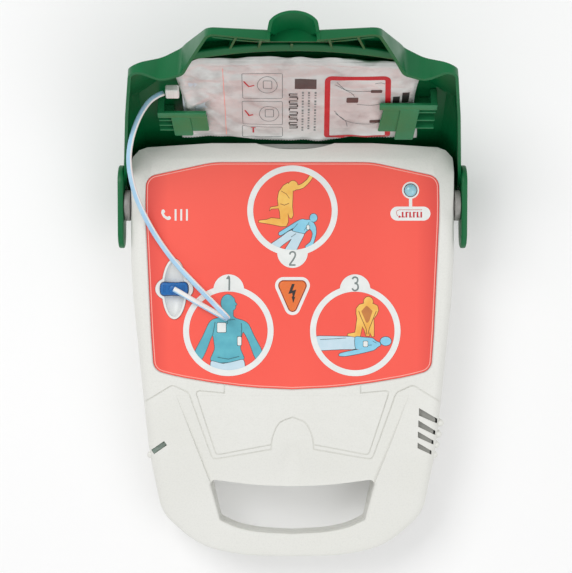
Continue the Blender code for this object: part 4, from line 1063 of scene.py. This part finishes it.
def tab_outline(ring, tab):
    """The part of the number's disc that lies outside its ring."""
    disc = ellipse(tab, TAB_RADIUS, TAB_RADIUS, 96)
    outside = [(p - Vector(ring)).length > 32.4 for p in disc]
    start = next(k for k in range(96) if outside[k] and not outside[k - 1])
    return [disc[(start + k) % 96] for k in range(96) if outside[(start + k) % 96]]


def draw_rings():
    shapes, digits = [], []
    for number, (ring, tab) in STEPS.items():
        shapes += [[ellipse(ring, RING_OUTER, RING_OUTER, 128), ellipse(ring, RING_INNER, RING_INNER, 128)]]
        middle = Vector(tab) + (Vector(tab) - Vector(ring)).normalized() * 4.3
        digits += [stroke([p + middle for p in smooth_route(line, 4)], 1.2) for line in DIGITS[number]]
    printed("step_rings", "ink_white", shapes, 13)
    printed("step_tabs", "ink_white", [tab_outline(*pair) for pair in STEPS.values()], 14)
    printed("step_numbers", "ink_grey", digits, 16)


def draw_borders():
    line = [inset(PANEL, 0.9), inset(PANEL, 1.5)]
    printed("panel_line", "ink_border", [line], 0)
    x, y = REPEAT_BUTTON
    pill = capsule((77.7, -6.7, 5.2), (97.0, -6.7, 5.2))
    white = [[shock_outline(2.9), shock_outline(0.6)],
             [ellipse((x, y), 6.3, 6.3), ellipse((x, y), REPEAT_RADIUS + 0.5, REPEAT_RADIUS + 0.5)],
             [(x - 1.2, -2.6), (x + 1.2, -2.6), (x + 1.2, y - 5.8), (x - 1.2, y - 5.8)]]
    printed("button_borders", "ink_white", white, 0)
    printed("repeat_label", "ink_white", [pill], 1)
    arrow = [stroke([(96, -3.9), (79, -3.9), (77.4, -4.6), (77, -6.2), (77.6, -8.2), (79, -9)], 0.35),
             [(78.6, -10), (80.8, -9.2), (79, -8)]]
    bars = [stroke([(81.6 + 2.75 * k, -9.6), (81.6 + 2.75 * k, -5.4)], 1.2) for k in range(6)]
    ends = [(81.0 + 2.75 * k, -5.8 if k % 2 else -9.2) for k in range(5)]
    caps = [stroke([(x, y), (x + 2.2, y)], 0.6) for x, y in ends]
    printed("repeat_arrow", "ink_red", arrow + bars, 3)
    printed("repeat_caps", "ink_red", caps, 4)
    handset = soft([(-98.4, -1.6), (-96.6, -1.2), (-95.4, -3.4), (-96.6, -4.6), (-95.4, -6.6), (-93.4, -7.8),
                    (-91.8, -7), (-90.2, -8.6), (-91, -10.2), (-93.4, -10.6), (-97, -8.2), (-99, -4.6)])
    handset = [Vector((-93.6, -7.6)) + (p - Vector((-94.6, -6))) * 0.82 for p in handset]
    marks = [stroke([(x, -11.9), (x, -3.4)], 1.4) for x in (-86.6, -82.4, -78.2)]
    printed("call_marks", "ink_white", [handset] + marks, 0)


def make_socket():
    """White cup with a rounded lip and one long scooped dish under the plug."""
    x, y = SOCKET
    cup = bevel(socket_shape(0, 55.5, SOCKET_TOP), 0.7, 4)
    cup = cut(cup, ellipsoid((x, y, SOCKET_TOP + 0.6), (7.8, 20.8, 6.0)))
    cup = cut(cup, plate(plug_outline(0.5), SOCKET_FLOOR, 70))
    for side in (-4, 4):
        cup = cut(cup, cylinder((x + side, y, 57), 1.7, 8, segments=24))
    placed(cup, "electrode_port", "white", "base", ["electrode_socket"])


def make_buttons():
    """Shock button with its bolt, and the domed repeat button."""
    face = bevel(plate(shock_outline(0), BUTTON_BOTTOM + 0.5, BUTTON_TOP), 1.0, 5)
    face = join(face, plate(shock_outline(1.8), BUTTON_BOTTOM, BUTTON_BOTTOM + 1))
    placed(face, "shock_key", "shock", "shock_button", ["shock_button"])
    x, y = SHOCK_BUTTON
    bolt = [(1.7, 7.6), (-0.4, 7.6), (-3.1, 0.2), (-0.2, 0.8), (0.1, -1.6), (-0.6, -1.8), (0.5, -6.6), (2.1, -2),
            (1.2, -2), (2.8, 3.4), (-0.1, 2.6)]
    bolt = plate(oriented(shifted(bolt, (x, y + 0.6))), BUTTON_TOP - 0.2, BUTTON_TOP + 0.05)
    placed(bolt, "shock_bolt", "ink_black", "shock_button")
    x, y = REPEAT_BUTTON
    cap = join(cylinder((x, y, 61.2), REPEAT_RADIUS, 4.4),
               ellipsoid((x, y, 63.2), (REPEAT_RADIUS, REPEAT_RADIUS, 2.4)),
               cylinder((x, y, BUTTON_BOTTOM + 0.5), REPEAT_RADIUS + 1.6, 1))
    placed(cap, "repeat_key", "repeat", "repeat_button", ["repeat_button"])


def make_battery():
    """Battery pack with grip ribs in a thumb hollow and a blank label recess underneath."""
    (low, high), bottom = BATTERY_Y, BASE_BOTTOM + GAP
    pack = bevel(box((-BATTERY_X, low, bottom), (BATTERY_X, high, BATTERY_TOP)), 1.6, 4)
    pack = cut(pack, cylinder((0, high, BASE_BOTTOM), 7, 40, "X"))
    for k in range(5):
        y = high - 6.0 + 1.2 * k
        pack = join(pack, bevel(box((-16, y, bottom + 3.4), (16, y + 0.5, 9.6)), 0.2, 1))
    label = rectangle(-44, low + 10, 44, high - 18, 3)
    pack = cut(pack, plate(label, 0, bottom + 0.4))
    for x in (-8, 0, 8):
        pack = cut(pack, box((x - 1.1, -149.5, 26), (x + 1.1, -142.5, 40)))
    placed(pack, "battery_block", "battery", "battery", ["battery_pack"])


def make_bosses():
    """Grey hinge bosses with rounded rims and a groove in the face."""
    bore, edge = PIN_RADIUS + GAP, 0.9
    for side, name in ((-1, "left"), (1, "right")):
        profile = [(113, bore), (113, SPIGOT_RADIUS), (BOSS_INNER, SPIGOT_RADIUS), (BOSS_INNER, BOSS_RADIUS - edge)]
        profile += [(BOSS_INNER + edge * (1 - math.cos(a)), BOSS_RADIUS - edge + edge * math.sin(a))
                    for a in (0.4, 0.8, 1.2, 1.57)]
        profile += [(BOSS_OUTER - edge * (1 - math.sin(a)), BOSS_RADIUS - edge + edge * math.cos(a))
                    for a in (0, 0.4, 0.8, 1.2)]
        profile += [(BOSS_OUTER, BOSS_RADIUS - edge - 0.3), (BOSS_OUTER - 0.4, BOSS_RADIUS - 2.2),
                    (BOSS_OUTER - 0.4, BOSS_RADIUS - 2.8), (BOSS_OUTER, BOSS_RADIUS - 3.1), (BOSS_OUTER, bore)]
        boss = turned([(side * x, r) for x, r in profile], 72)
        placed(boss, f"hinge_collar_{name}", "boss", "base", [f"hinge_boss_{name}"])


def make_feet():
    """Rubber feet with a moulded ring in the sole."""
    for number, (x, y) in enumerate(FEET, 1):
        foot = bevel(cylinder((x, y, 1.2), 8, 2.4), 0.6, 3)
        ring = cut(cylinder((x, y, 0), 6, 0.8), cylinder((x, y, 0), 5, 2))
        placed(cut(foot, ring), f"foot_pad_{number}", "rubber", "base", [f"rubber_foot_{number}"])


# ---------------------------------------------------------------- lid
def shoulder_planes(depth):
    """A point and the normal of each facet over the lid's front corners, moved in by a depth."""
    a, b, c = (Vector(p) for p in SHOULDER)
    normal = (b - a).cross(c - a).normalized()
    for side in (1, -1):
        up = Vector((side * normal.x, normal.y, normal.z))
        yield side, Vector((side * a.x, a.y, a.z)) - up * depth, up


def above_shoulders(depth):
    """Everything above the two facets."""
    blocks = []
    for side, foot, up in shoulder_planes(depth):
        low, high = sorted((0, side * 150))
        blocks.append(common(block_above(foot * MM, up.to_track_quat("Z", "Y").to_matrix()),
                             box((low, -240, 0), (high, 20, 200))))
    return join(*blocks)


def shoulder_ceiling(x, y, depth):
    """How high the facets leave room at a place."""
    return min(foot.z - (up.x * (x - foot.x) + up.y * (y - foot.y)) / up.z
               for _, foot, up in shoulder_planes(depth))


def lid_form(thickness, section):
    outline = inset(mirrored(LID_HALF), thickness)
    front = bevel(plate(outline, 20, LID_TOP - thickness), 5 - thickness / 2, 6, 50)
    points = section[:-1] + [(-x, r) for x, r in reversed(section[:-1])]
    across = [Vector((x, HINGE_Z + r)) for x, r in points]
    across[0].y = across[-1].y = 10
    front = common(front, plate(across, -0.5, 230, "XZ"))
    rear = common(turned_end(section), box((-140, 0.2, HINGE_Z - 2), (140, 70, 130)))
    whole = join(front, rear)
    if thickness == 0:
        field = rounded([(-98, -18, 16), (98, -18, 16), (90, -108, 16), (-90, -108, 16)])
        whole = cut(whole, lofted(at_height(inset(field, 0.8), LID_TOP - 0.7), at_height(inset(field, -0.8), 101.5)))
    whole = warp(whole, LID_SLOPE_START, TONGUE_END, 8, lid_height(thickness))
    return cut(whole, above_shoulders(thickness))


def hood(thickness, front, back):
    """The finger hood's dome over the tongue, as a solid along Y."""
    half_width, crest = HOOD_HALF_WIDTH - thickness, HOOD_TOP - thickness
    arch = [p for p in ellipse((0, HOOD_SPRING), half_width, crest - HOOD_SPRING, 96) if p.y > HOOD_SPRING - 0.01]
    return plate([Vector((half_width, 40))] + arch + [Vector((-half_width, 40))], -back, -front, "XZ")


def below_rim():
    """Everything under the lid's edge, which follows the base's sloping top and rises below the hood."""
    slope = [(y, LID_RIM - 0.7 * top_drop(y)) for y in range(-139, -231, -5)]
    line = [(90, 0), (90, LID_RIM)] + slope + [(-229, 0)]
    notch = [(-196, 50), (-181.6, 50), (-181.6, 67.5), (-189, 71.5), (-196, 71.5)]
    under_hood = plate(notch[::-1], -HOOD_HALF_WIDTH - 0.2, HOOD_HALF_WIDTH + 0.2, "YZ")
    return join(plate(line, -150, 150, "YZ"), under_hood)


def lid_ribs():
    """The bowed wall with its thick rounded lip, the fan of ribs beyond it and the rib across the tongue."""
    radius, middle_y, half_angle = 262, 104, math.radians(15.2)
    turns = [half_angle * (k / 14 - 1) for k in range(29)]
    line = [Vector((radius * math.sin(a), middle_y - radius * math.cos(a))) for a in turns]
    wall = plate(line + [Vector((p.x * 0.985, p.y + 3.6)) for p in reversed(line)], 73, 100)
    lip = [[Vector(((radius + shift) * math.sin(a), middle_y - (radius + shift) * math.cos(a))) for a in turns]
           for shift in (3.6, -3.2)]
    wall = join(bevel(wall, 1.3, 4), bevel(plate(lip[0] + lip[1][::-1], 73, 76), 1.2, 4))
    under = [(-120, 0), (-120, 73), (-158, 73), (TONGUE_END - 2, 60.5), (TONGUE_END - 2, 0)]
    fan = ((-39, -172, 31, 12), (-21.5, -172, 31, 6), (-1, -161, 12, 0), (24, -172, 31, -7), (44, -172, 31, -13))
    ribs = grouped([slanted_bar((x, y), 1.6, length, lean, 55, 100) for x, y, length, lean in fan])
    step = plate(stroke([(-53, -176.5), (-24, -171), (24, -171), (53, -176.5)], 1.5), 67.5, 100)
    ribs = cut(join(ribs, step), plate(under, -150, 150, "YZ"))
    return join(wall, ribs)


def make_lid():
    outer = join(lid_form(0, LID_SECTION), hood(0, TONGUE_END, -150))
    inner = join(lid_form(LID_THICK, LID_INSIDE), hood(LID_THICK, -196, -152))
    middle = join(lid_form(LID_THICK / 2, LID_INSIDE), hood(LID_THICK / 2, -192, -151))
    shell = join(cut(outer, inner), common(lid_ribs(), middle))
    shell = cut(shell, below_rim())
    tail_y, tail_z, tail_radius = EAR_TAIL
    root_y, root_z, root_radius = EAR_ROOT
    ear = capsule((tail_y, HINGE_Z + tail_z, tail_radius), (root_y, HINGE_Z + root_z, root_radius), 28)
    for side in (-1, 1):
        inner_x, outer_x = sorted((side * EAR_INNER, side * EAR_OUTER))
        shell = join(shell, bevel(plate(ear, inner_x, outer_x, "YZ"), 1.1, 4))
        shell = cut(shell, cylinder((side * (EAR_INNER + 1.2), 0, HINGE_Z), PIN_RADIUS + GAP, 2.8, "X"))
    placed(shell, "lid_cover", "lid", "lid", ["lid_shell"], 24)


def make_clip(name, post, beam, tabs, gussets):
    """A bracket that hangs from the lid: a post, a beam across it, two offset tongues and three gussets."""
    ceiling = LID_TOP - LID_THICK - GAP
    (x0, x1), (y0, y1) = beam
    clip = bevel(box((post[0], y0, 83), (post[1], y1, ceiling)), 0.6, 3)
    clip = cut(clip, box((post[0] + 1.3, y0 + 1.4, 80), (post[1] - 1.3, y1 + 5, 84.6)))
    clip = join(clip, bevel(box((x0, y1 - 2.4, 82.8), (x1, y1, 87.6)), 0.5, 3),
                bevel(box((x0, y0, 82.8), (x1, y1, 85.2)), 0.5, 3))
    for (left, right, near, far), low, lean in tabs:
        corners = [(left, near), (right, near), (right + lean, far), (left + lean, far)]
        outline = rounded([(x, y, 1.2) for x, y in corners])
        clip = join(clip, bevel(plate(outline, low, low + 1.7), 0.5, 3))
    for y in gussets[1:]:
        clip = join(clip, bevel(box((gussets[0][0], y - 0.7, 84.2), (gussets[0][1], y + 0.7, ceiling)), 0.4, 2))
    placed(clip, name, "clip", "lid", [name.replace("_bracket", "")])


def make_clips():
    make_clip("lid_clip_left_bracket", (-97.4, -92.6), ((-97.4, -62.4), (-72.4, -66.4)),
              (((-87.9, -74.2, -67, -45), 82.6, 1.7), ((-74.9, -62, -68, -49.3), 83.7, 1.2)),
              ((-97, -86.4), -61.4, -55.6, -49.8))
    make_clip("lid_clip_right_bracket", (98.7, 103.5), ((62.2, 103.5), (-81.7, -75.7)),
              (((65.4, 79, -78, -48.6), 83.7, -3.2), ((77.2, 91, -77, -39.8), 82.6, -2.4)),
              ((88, 103), -71, -61.6, -52.2))


# ---------------------------------------------------------------- pad pouch
def edge_value(points, at):
    """Reads a smooth line through (position, value) points."""
    for (a, first), (b, second) in zip(points, points[1:]):
        if at <= b:
            return first + (second - first) * smoothstep((at - a) / (b - a))
    return points[-1][1]


POUCH_TOP = [(0, 119), (0.12, 126), (0.35, 128.6), (0.6, 128), (0.8, 124.6), (1, 122.5)]
POUCH_BOTTOM = [(0, 33.4), (0.24, 33.2), (0.34, 29.2), (0.62, 28.8), (0.74, 33), (1, 33.4)]
POUCH_LEFT = [(0, -82.4), (0.4, -79), (1, -83.4)]
POUCH_RIGHT = [(0, 92.4), (0.55, 88.4), (1, 91)]
POUCH_COLUMNS, POUCH_ROWS, POUCH_SEAL = 86, 48, 7.0
POUCH_MIDDLE = (POUCH_Z[0] + POUCH_Z[1]) / 2

# Creases in the film as (x, s) lines, with how deep and how wide they are. s is the distance from the hinge.
CREASES = [([(-66, 118), (-45, 112), (-27, 109), (5, 106.5), (30, 112)], 0.9, 3.0),
           ([(-79, 70), (-70, 78), (-61, 84)], -2.4, 2.6), ([(-76, 66), (-66, 73), (-58, 84)], 1.6, 2.4),
           ([(-62, 72), (-45, 57.6), (-30, 44)], 1.3, 2.6), ([(-60, 66), (-48, 50), (-40, 42)], -0.9, 2.2),
           ([(-48.8, 118), (-48.6, 80), (-48.8, 40)], 0.5, 1.2), ([(-57, 41), (-20, 36.5), (4, 35)], -0.8, 2.0),
           ([(40, 56), (54, 48), (67, 43)], 0.7, 2.6), ([(70, 96), (80, 94), (88, 97)], 0.6, 2.2),
           ([(28, 98), (45, 95.5), (63, 98)], 0.4, 1.8), ([(27, 84), (44, 82), (66, 85)], -0.35, 1.6),
           ([(26, 68), (46, 66), (67, 70)], 0.4, 1.8), ([(-72, 96), (-60, 104), (-52, 101)], 0.8, 2.4),
           ([(-60, 92), (-55, 89), (-51, 93)], -0.8, 2.2), ([(-76, 112), (-62, 106), (-50, 110)], -0.8, 2.6),
           ([(72, 118), (76, 108), (74, 98)], -0.6, 2.4), ([(80, 60), (84, 48), (88, 40)], 0.7, 2.4),
           ([(-30, 76), (-18, 70), (-6, 74)], 0.35, 2.0), ([(-28, 60), (-12, 57), (4, 61)], -0.35, 2.0)]


def line_distance(point, line):
    best = 1e9
    for a, b in zip(line, line[1:]):
        a, b = Vector(a), Vector(b)
        t = max(0, min(1, (point - a).dot(b - a) / (b - a).length_squared))
        best = min(best, (point - a - (b - a) * t).length)
    return best


def flat_pouch():
    """The empty sleeve: two sheets on one grid, sealed round their edges and slightly parted inside."""
    bm = bmesh.new()
    seal = bm.verts.layers.float.new("seal")
    sheets = []
    for way in (-1, 1):
        rows = []
        for j in range(POUCH_ROWS + 1):
            v = j / POUCH_ROWS
            row = []
            for i in range(POUCH_COLUMNS + 1):
                u = i / POUCH_COLUMNS
                left, right = edge_value(POUCH_LEFT, v), edge_value(POUCH_RIGHT, v)
                bottom, top = edge_value(POUCH_BOTTOM, u), edge_value(POUCH_TOP, u)
                margin = min(min(u, 1 - u) * (right - left), min(v, 1 - v) * (top - bottom))
                lift = 0.22 + 1.9 * smoothstep((margin - POUCH_SEAL) / 12)
                vert = bm.verts.new(Vector((left + (right - left) * u, -(bottom + (top - bottom) * v),
                                            POUCH_MIDDLE + way * lift)) * MM)
                vert[seal] = 1 - smoothstep((margin - POUCH_SEAL + 1) / 1.5)
                row.append(vert)
            rows.append(row)
        sheets.append(rows)
    for rows in sheets:
        for a, b in zip(rows, rows[1:]):
            for i in range(POUCH_COLUMNS):
                bm.faces.new((a[i], a[i + 1], b[i + 1], b[i]))
    for i in range(POUCH_COLUMNS):
        for j in (0, POUCH_ROWS):
            bm.faces.new((sheets[0][j][i], sheets[0][j][i + 1], sheets[1][j][i + 1], sheets[1][j][i]))
    for j in range(POUCH_ROWS):
        for i in (0, POUCH_COLUMNS):
            bm.faces.new((sheets[0][j][i], sheets[0][j + 1][i], sheets[1][j + 1][i], sheets[1][j][i]))
    return from_bmesh(bm, "pouch")


def extent(obj):
    """The lowest and highest x, and y, of an object's mesh."""
    return [(min(reach), max(reach)) for reach in ([v.co[axis] for v in obj.data.vertices] for axis in (0, 1))]


def inflated(pouch):
    """Fills the sleeve with a little air, which gathers its film along the seals, then stretches it to size."""
    modifier = pouch.modifiers.new("film", "CLOTH")
    settings = modifier.settings
    settings.quality = 6
    settings.mass = 0.15
    settings.tension_stiffness = settings.compression_stiffness = 30
    settings.shear_stiffness = 12
    settings.bending_stiffness = 0.4
    settings.use_pressure = True
    settings.uniform_pressure_force = 3.0
    settings.effector_weights.gravity = 0
    modifier.point_cache.frame_start, modifier.point_cache.frame_end = 1, 20
    before = extent(pouch)
    for frame_number in range(1, 19):
        SCENE.frame_set(frame_number)
    pouch = bake(pouch)
    SCENE.frame_set(1)
    for axis, (old_low, old_high), (low, high) in zip((0, 1), before, extent(pouch)):
        for vert in pouch.data.vertices:
            share = (vert.co[axis] - low) / (high - low)
            vert.co[axis] = old_low + share * (old_high - old_low)
    return pouch


def crumpled(pouch):
    """Keeps the film within the pouch's depth, then adds its folds, its curling rims and the pinked hem."""
    count, sheet = len(pouch.data.vertices), (POUCH_COLUMNS + 1) * (POUCH_ROWS + 1)
    subdivision = pouch.modifiers.new("finer", "SUBSURF")
    subdivision.levels = subdivision.render_levels = 1
    pouch = bake(pouch)
    seal = [value.value for value in pouch.data.attributes["seal"].data]
    for number, vert in enumerate(pouch.data.vertices):
        x, y, z = vert.co / MM
        s, rise = -y, z - POUCH_MIDDLE
        rise = 3.5 * math.tanh(rise / 3.5)
        soft_noise = (noise.noise(Vector((x / 21, s / 15, 0.3))) * 0.9
                      + noise.noise(Vector((x / 8, s / 6, 2.3))) * 0.45)
        left_side = 0.45 + 0.75 * smoothstep((-20 - x) / 50)
        wave = 1.35 * soft_noise * left_side
        for line, depth, width in CREASES:
            away = line_distance(Vector((x, s)), line)
            if away < 3 * width:
                wave += 0.95 * depth * math.exp(-(away / width) ** 1.4)
        rim = seal[number]
        ripple = 0.9 * math.sin(x / 5.2 + 1.4 * math.sin(x / 17)) + 0.5 * math.sin(x / 2.9 + s / 7)
        top_rim = rim * smoothstep((s - 110) / 10)
        wave = wave * (1 - 0.6 * rim) + ripple * rim * 0.5 - 1.2 * top_rim
        z = POUCH_MIDDLE + rise + wave * (1 if rise < 0 or rim > 0.5 else 0.35)
        room = shoulder_ceiling(x, y, LID_THICK + 0.9)
        sag = max(0, POUCH_MIDDLE + 1.6 - room)
        if number < count and s < 36 and rim > 0.98 and number % sheet <= POUCH_COLUMNS:
            y += 0.9
        z = max(POUCH_Z[0] - 0.4, min(POUCH_Z[1], z))
        vert.co = Vector((x, y, min(z - sag, room))) * MM
    return pouch


def make_pouch():
    pouch = flat_pouch()
    pouch = inflated(pouch)
    pouch = crumpled(pouch)
    tree = BVHTree.FromObject(pouch, bpy.context.evaluated_depsgraph_get())
    placed(pouch, "pad_pouch", "foil", "lid", ["electrode_pouch"], 60)
    draw_pouch_prints(tree)


def on_pouch(name, finish, tree, outlines, level):
    """Ink on the film: thin outlines cut into small squares and laid on the folded surface."""
    ink = grouped([plate(shape, 0, 1) for shape in outlines])
    bm = bmesh.new()
    bm.from_mesh(ink.data)
    bpy.data.objects.remove(ink)
    spacing = 1.5 * MM
    for axis in (0, 1):
        reach = [v.co[axis] for v in bm.verts]
        for k in range(math.ceil(min(reach) / spacing), math.ceil(max(reach) / spacing)):
            place, normal = [0, 0, 0], [0, 0, 0]
            place[axis], normal[axis] = k * spacing, 1
            bmesh.ops.bisect_plane(bm, geom=bm.verts[:] + bm.edges[:] + bm.faces[:], dist=1e-7,
                                   plane_co=place, plane_no=normal)
    for vert in bm.verts:
        raised = 0.03 if vert.co.z > 0.5 * MM else 0
        spot = (tree.ray_cast(Vector((vert.co.x, vert.co.y, 0.06)), Vector((0, 0, 1)))[0]
                or tree.find_nearest(Vector((vert.co.x, vert.co.y, POUCH_MIDDLE * MM)))[0])
        vert.co = spot + Vector((0, 0, raised - 0.07 - 0.04 * level)) * MM
    placed(from_bmesh(bm), name, finish, "lid", angle=60)


def frame_line(x0, s0, x1, s1, radius, width, lean=0.0):
    """A rounded rectangular frame between two corners, which widens towards the hinge."""
    corners = [(x0, -s0), (x1 - lean, -s0), (x1, -s1), (x0 + lean / 4, -s1)]
    outer = rounded([(x, y, radius) for x, y in corners], 15)
    return [outer, inset(outer, width)]


def flipped(points):
    return [(x, -s) for x, s in points]


def draw_pouch_prints(tree):
    red = [frame_line(22.4, 108.9, 72.3, 34.4, 5, 3.9, 3.6)]
    on_pouch("pouch_red_frame", "ink_red", tree, red, 1)
    ticks = [stroke(flipped(line), 1.1) for line in
             ([(-34.6, 103.8), (-31, 97.6), (-27.2, 99)], [(-34.4, 70), (-31.6, 63.6), (-28.6, 64.8)],
              [(-30.6, 48), (-27, 48)], [(-28.9, 48), (-28.9, 41.6)])]
    on_pouch("pouch_red_ticks", "ink_red", tree, ticks, 1)
    fold = stroke(flipped([(-48.9, 117), (-48.7, 80), (-48.7, 40)]), 0.5)
    on_pouch("pouch_fold_line", "ink_border", tree, [fold], 1)
    black = []
    for k in range(10):
        s = 89.5 - 4.25 * k
        end = 3.4 if k % 2 else -2.4
        lines = [[(-2.4, s), (3.4, s)], [(end, s), (end, s - 2.6)], [(-2.4, s - 2.6), (3.4, s - 2.6)]]
        black += [stroke(flipped(line), 0.9) for line in lines[:2 if k % 3 == 1 else 3]]
    black.append(flipped([(71.5, 86), (76.4, 86), (76.4, 78), (71.5, 78)]))
    black.append(flipped([(78, 90), (83, 90), (83, 78.5), (78, 78.5)]))
    on_pouch("pouch_marks", "ink_black", tree, black, 2)
    tab_mark = flipped([(1.4, 105.5), (16.7, 105.5), (16.7, 95.4), (1.4, 95.4)])
    on_pouch("pouch_tab_mark", "ink_umber", tree, [tab_mark], 1)
    small = []
    for column, reach in ((7.2, 49), (11.6, 47), (16.2, 49)):
        for k in range(14):
            s = 92 - reach / 14 * k
            small.append(stroke(flipped([(column, s), (column, s - 2.2 + 0.5 * (k % 3))]), 1.4))
    boxes = [frame_line(left, top, -7.2, bottom, 1.2, 0.3)
             for left, top, bottom in ((-35.8, 112.2, 84), (-36.4, 80.6, 52.6), (-37, 49.6, 37.6))]
    for x, s in ((-18, 99), (-17, 66)):
        boxes.append([ellipse((x, -s), 7.2, 9, 32), ellipse((x, -s), 6.9, 8.7, 32)])
        boxes.append(frame_line(x - 3, s + 5, x + 3.4, s - 4, 1, 0.35))
    body_lines = ([(30, 100), (38, 94), (50, 92), (60, 92.5)], [(31, 103), (36, 95.6), (42, 90), (44, 86)],
                  [(30, 69), (36, 60), (44, 54), (56, 53), (64, 56)], [(31, 66), (38, 58), (40, 50)],
                  [(46, 77), (56, 76), (66, 78)], [(58, 101), (62, 102), (65, 100.6)])
    boxes += [stroke(smooth_route(flipped(line), 5), 0.35) for line in body_lines]
    on_pouch("pouch_small_marks", "ink_grey", tree, small, 1)
    on_pouch("pouch_drawings", "ink_dark", tree, boxes, 1)
    pads = [rectangle(x - w, -s - h, x + w, -s + h, 0.9)
            for x, s, w, h in ((42.6, 82, 4.2, 3.0), (59.4, 92, 4.0, 1.6), (60, 56.6, 4.0, 1.8))]
    on_pouch("pouch_pad_drawings", "ink_umber", tree, pads, 3)


def make_pads():
    """The two electrode pads inside the pouch: foam back, gel face and a snap."""
    for name, low_x, high_x in (("electrode_pad_sternum", -80, -2), ("electrode_pad_apex", 6, 88)):
        y0, y1 = POUCH_Y[0] + 9, POUCH_Y[1] - 9
        outline = rectangle(low_x + 1, y0, high_x - 1, y1, 14)
        pad = bevel(plate(outline, 89.6, 90.9), 0.4, 2)
        pad = join(pad, bevel(plate(inset(outline, 9), 89.0, 89.8), 0.3, 2),
                   bevel(cylinder(((low_x + high_x) / 2, (y0 + y1) / 2, 91.2), 4.5, 1.4), 0.4, 3))
        placed(pad, name.replace("electrode_", "gel_"), "gel_and_foam", "lid", [name])


def dress_cad_nodes():
    """Gives every CAD part that stays in view its procedural finish."""
    slots = {row["node"]: row["material_slot"] for row in frame["record"]["subparts"]}
    for name, node in frame["nodes"].items():
        finish = FINISHES[SLOT_FINISHES.get(slots[name], slots[name])]
        for spot in node.material_slots:
            spot.material = finish
        if not node.material_slots:
            node.data.materials.append(finish)


make_camera()
make_lead()
make_studio()
dress_cad_nodes()
make_neck()
make_upper_housing()
make_lower_housing()
make_dust_cloth()
make_panel()
draw_borders()
draw_figures()
draw_rings()
make_socket()
make_buttons()
make_battery()
make_bosses()
make_feet()
make_lid()
make_clips()
make_pads()
make_pouch()

bpy.context.view_layer.update()
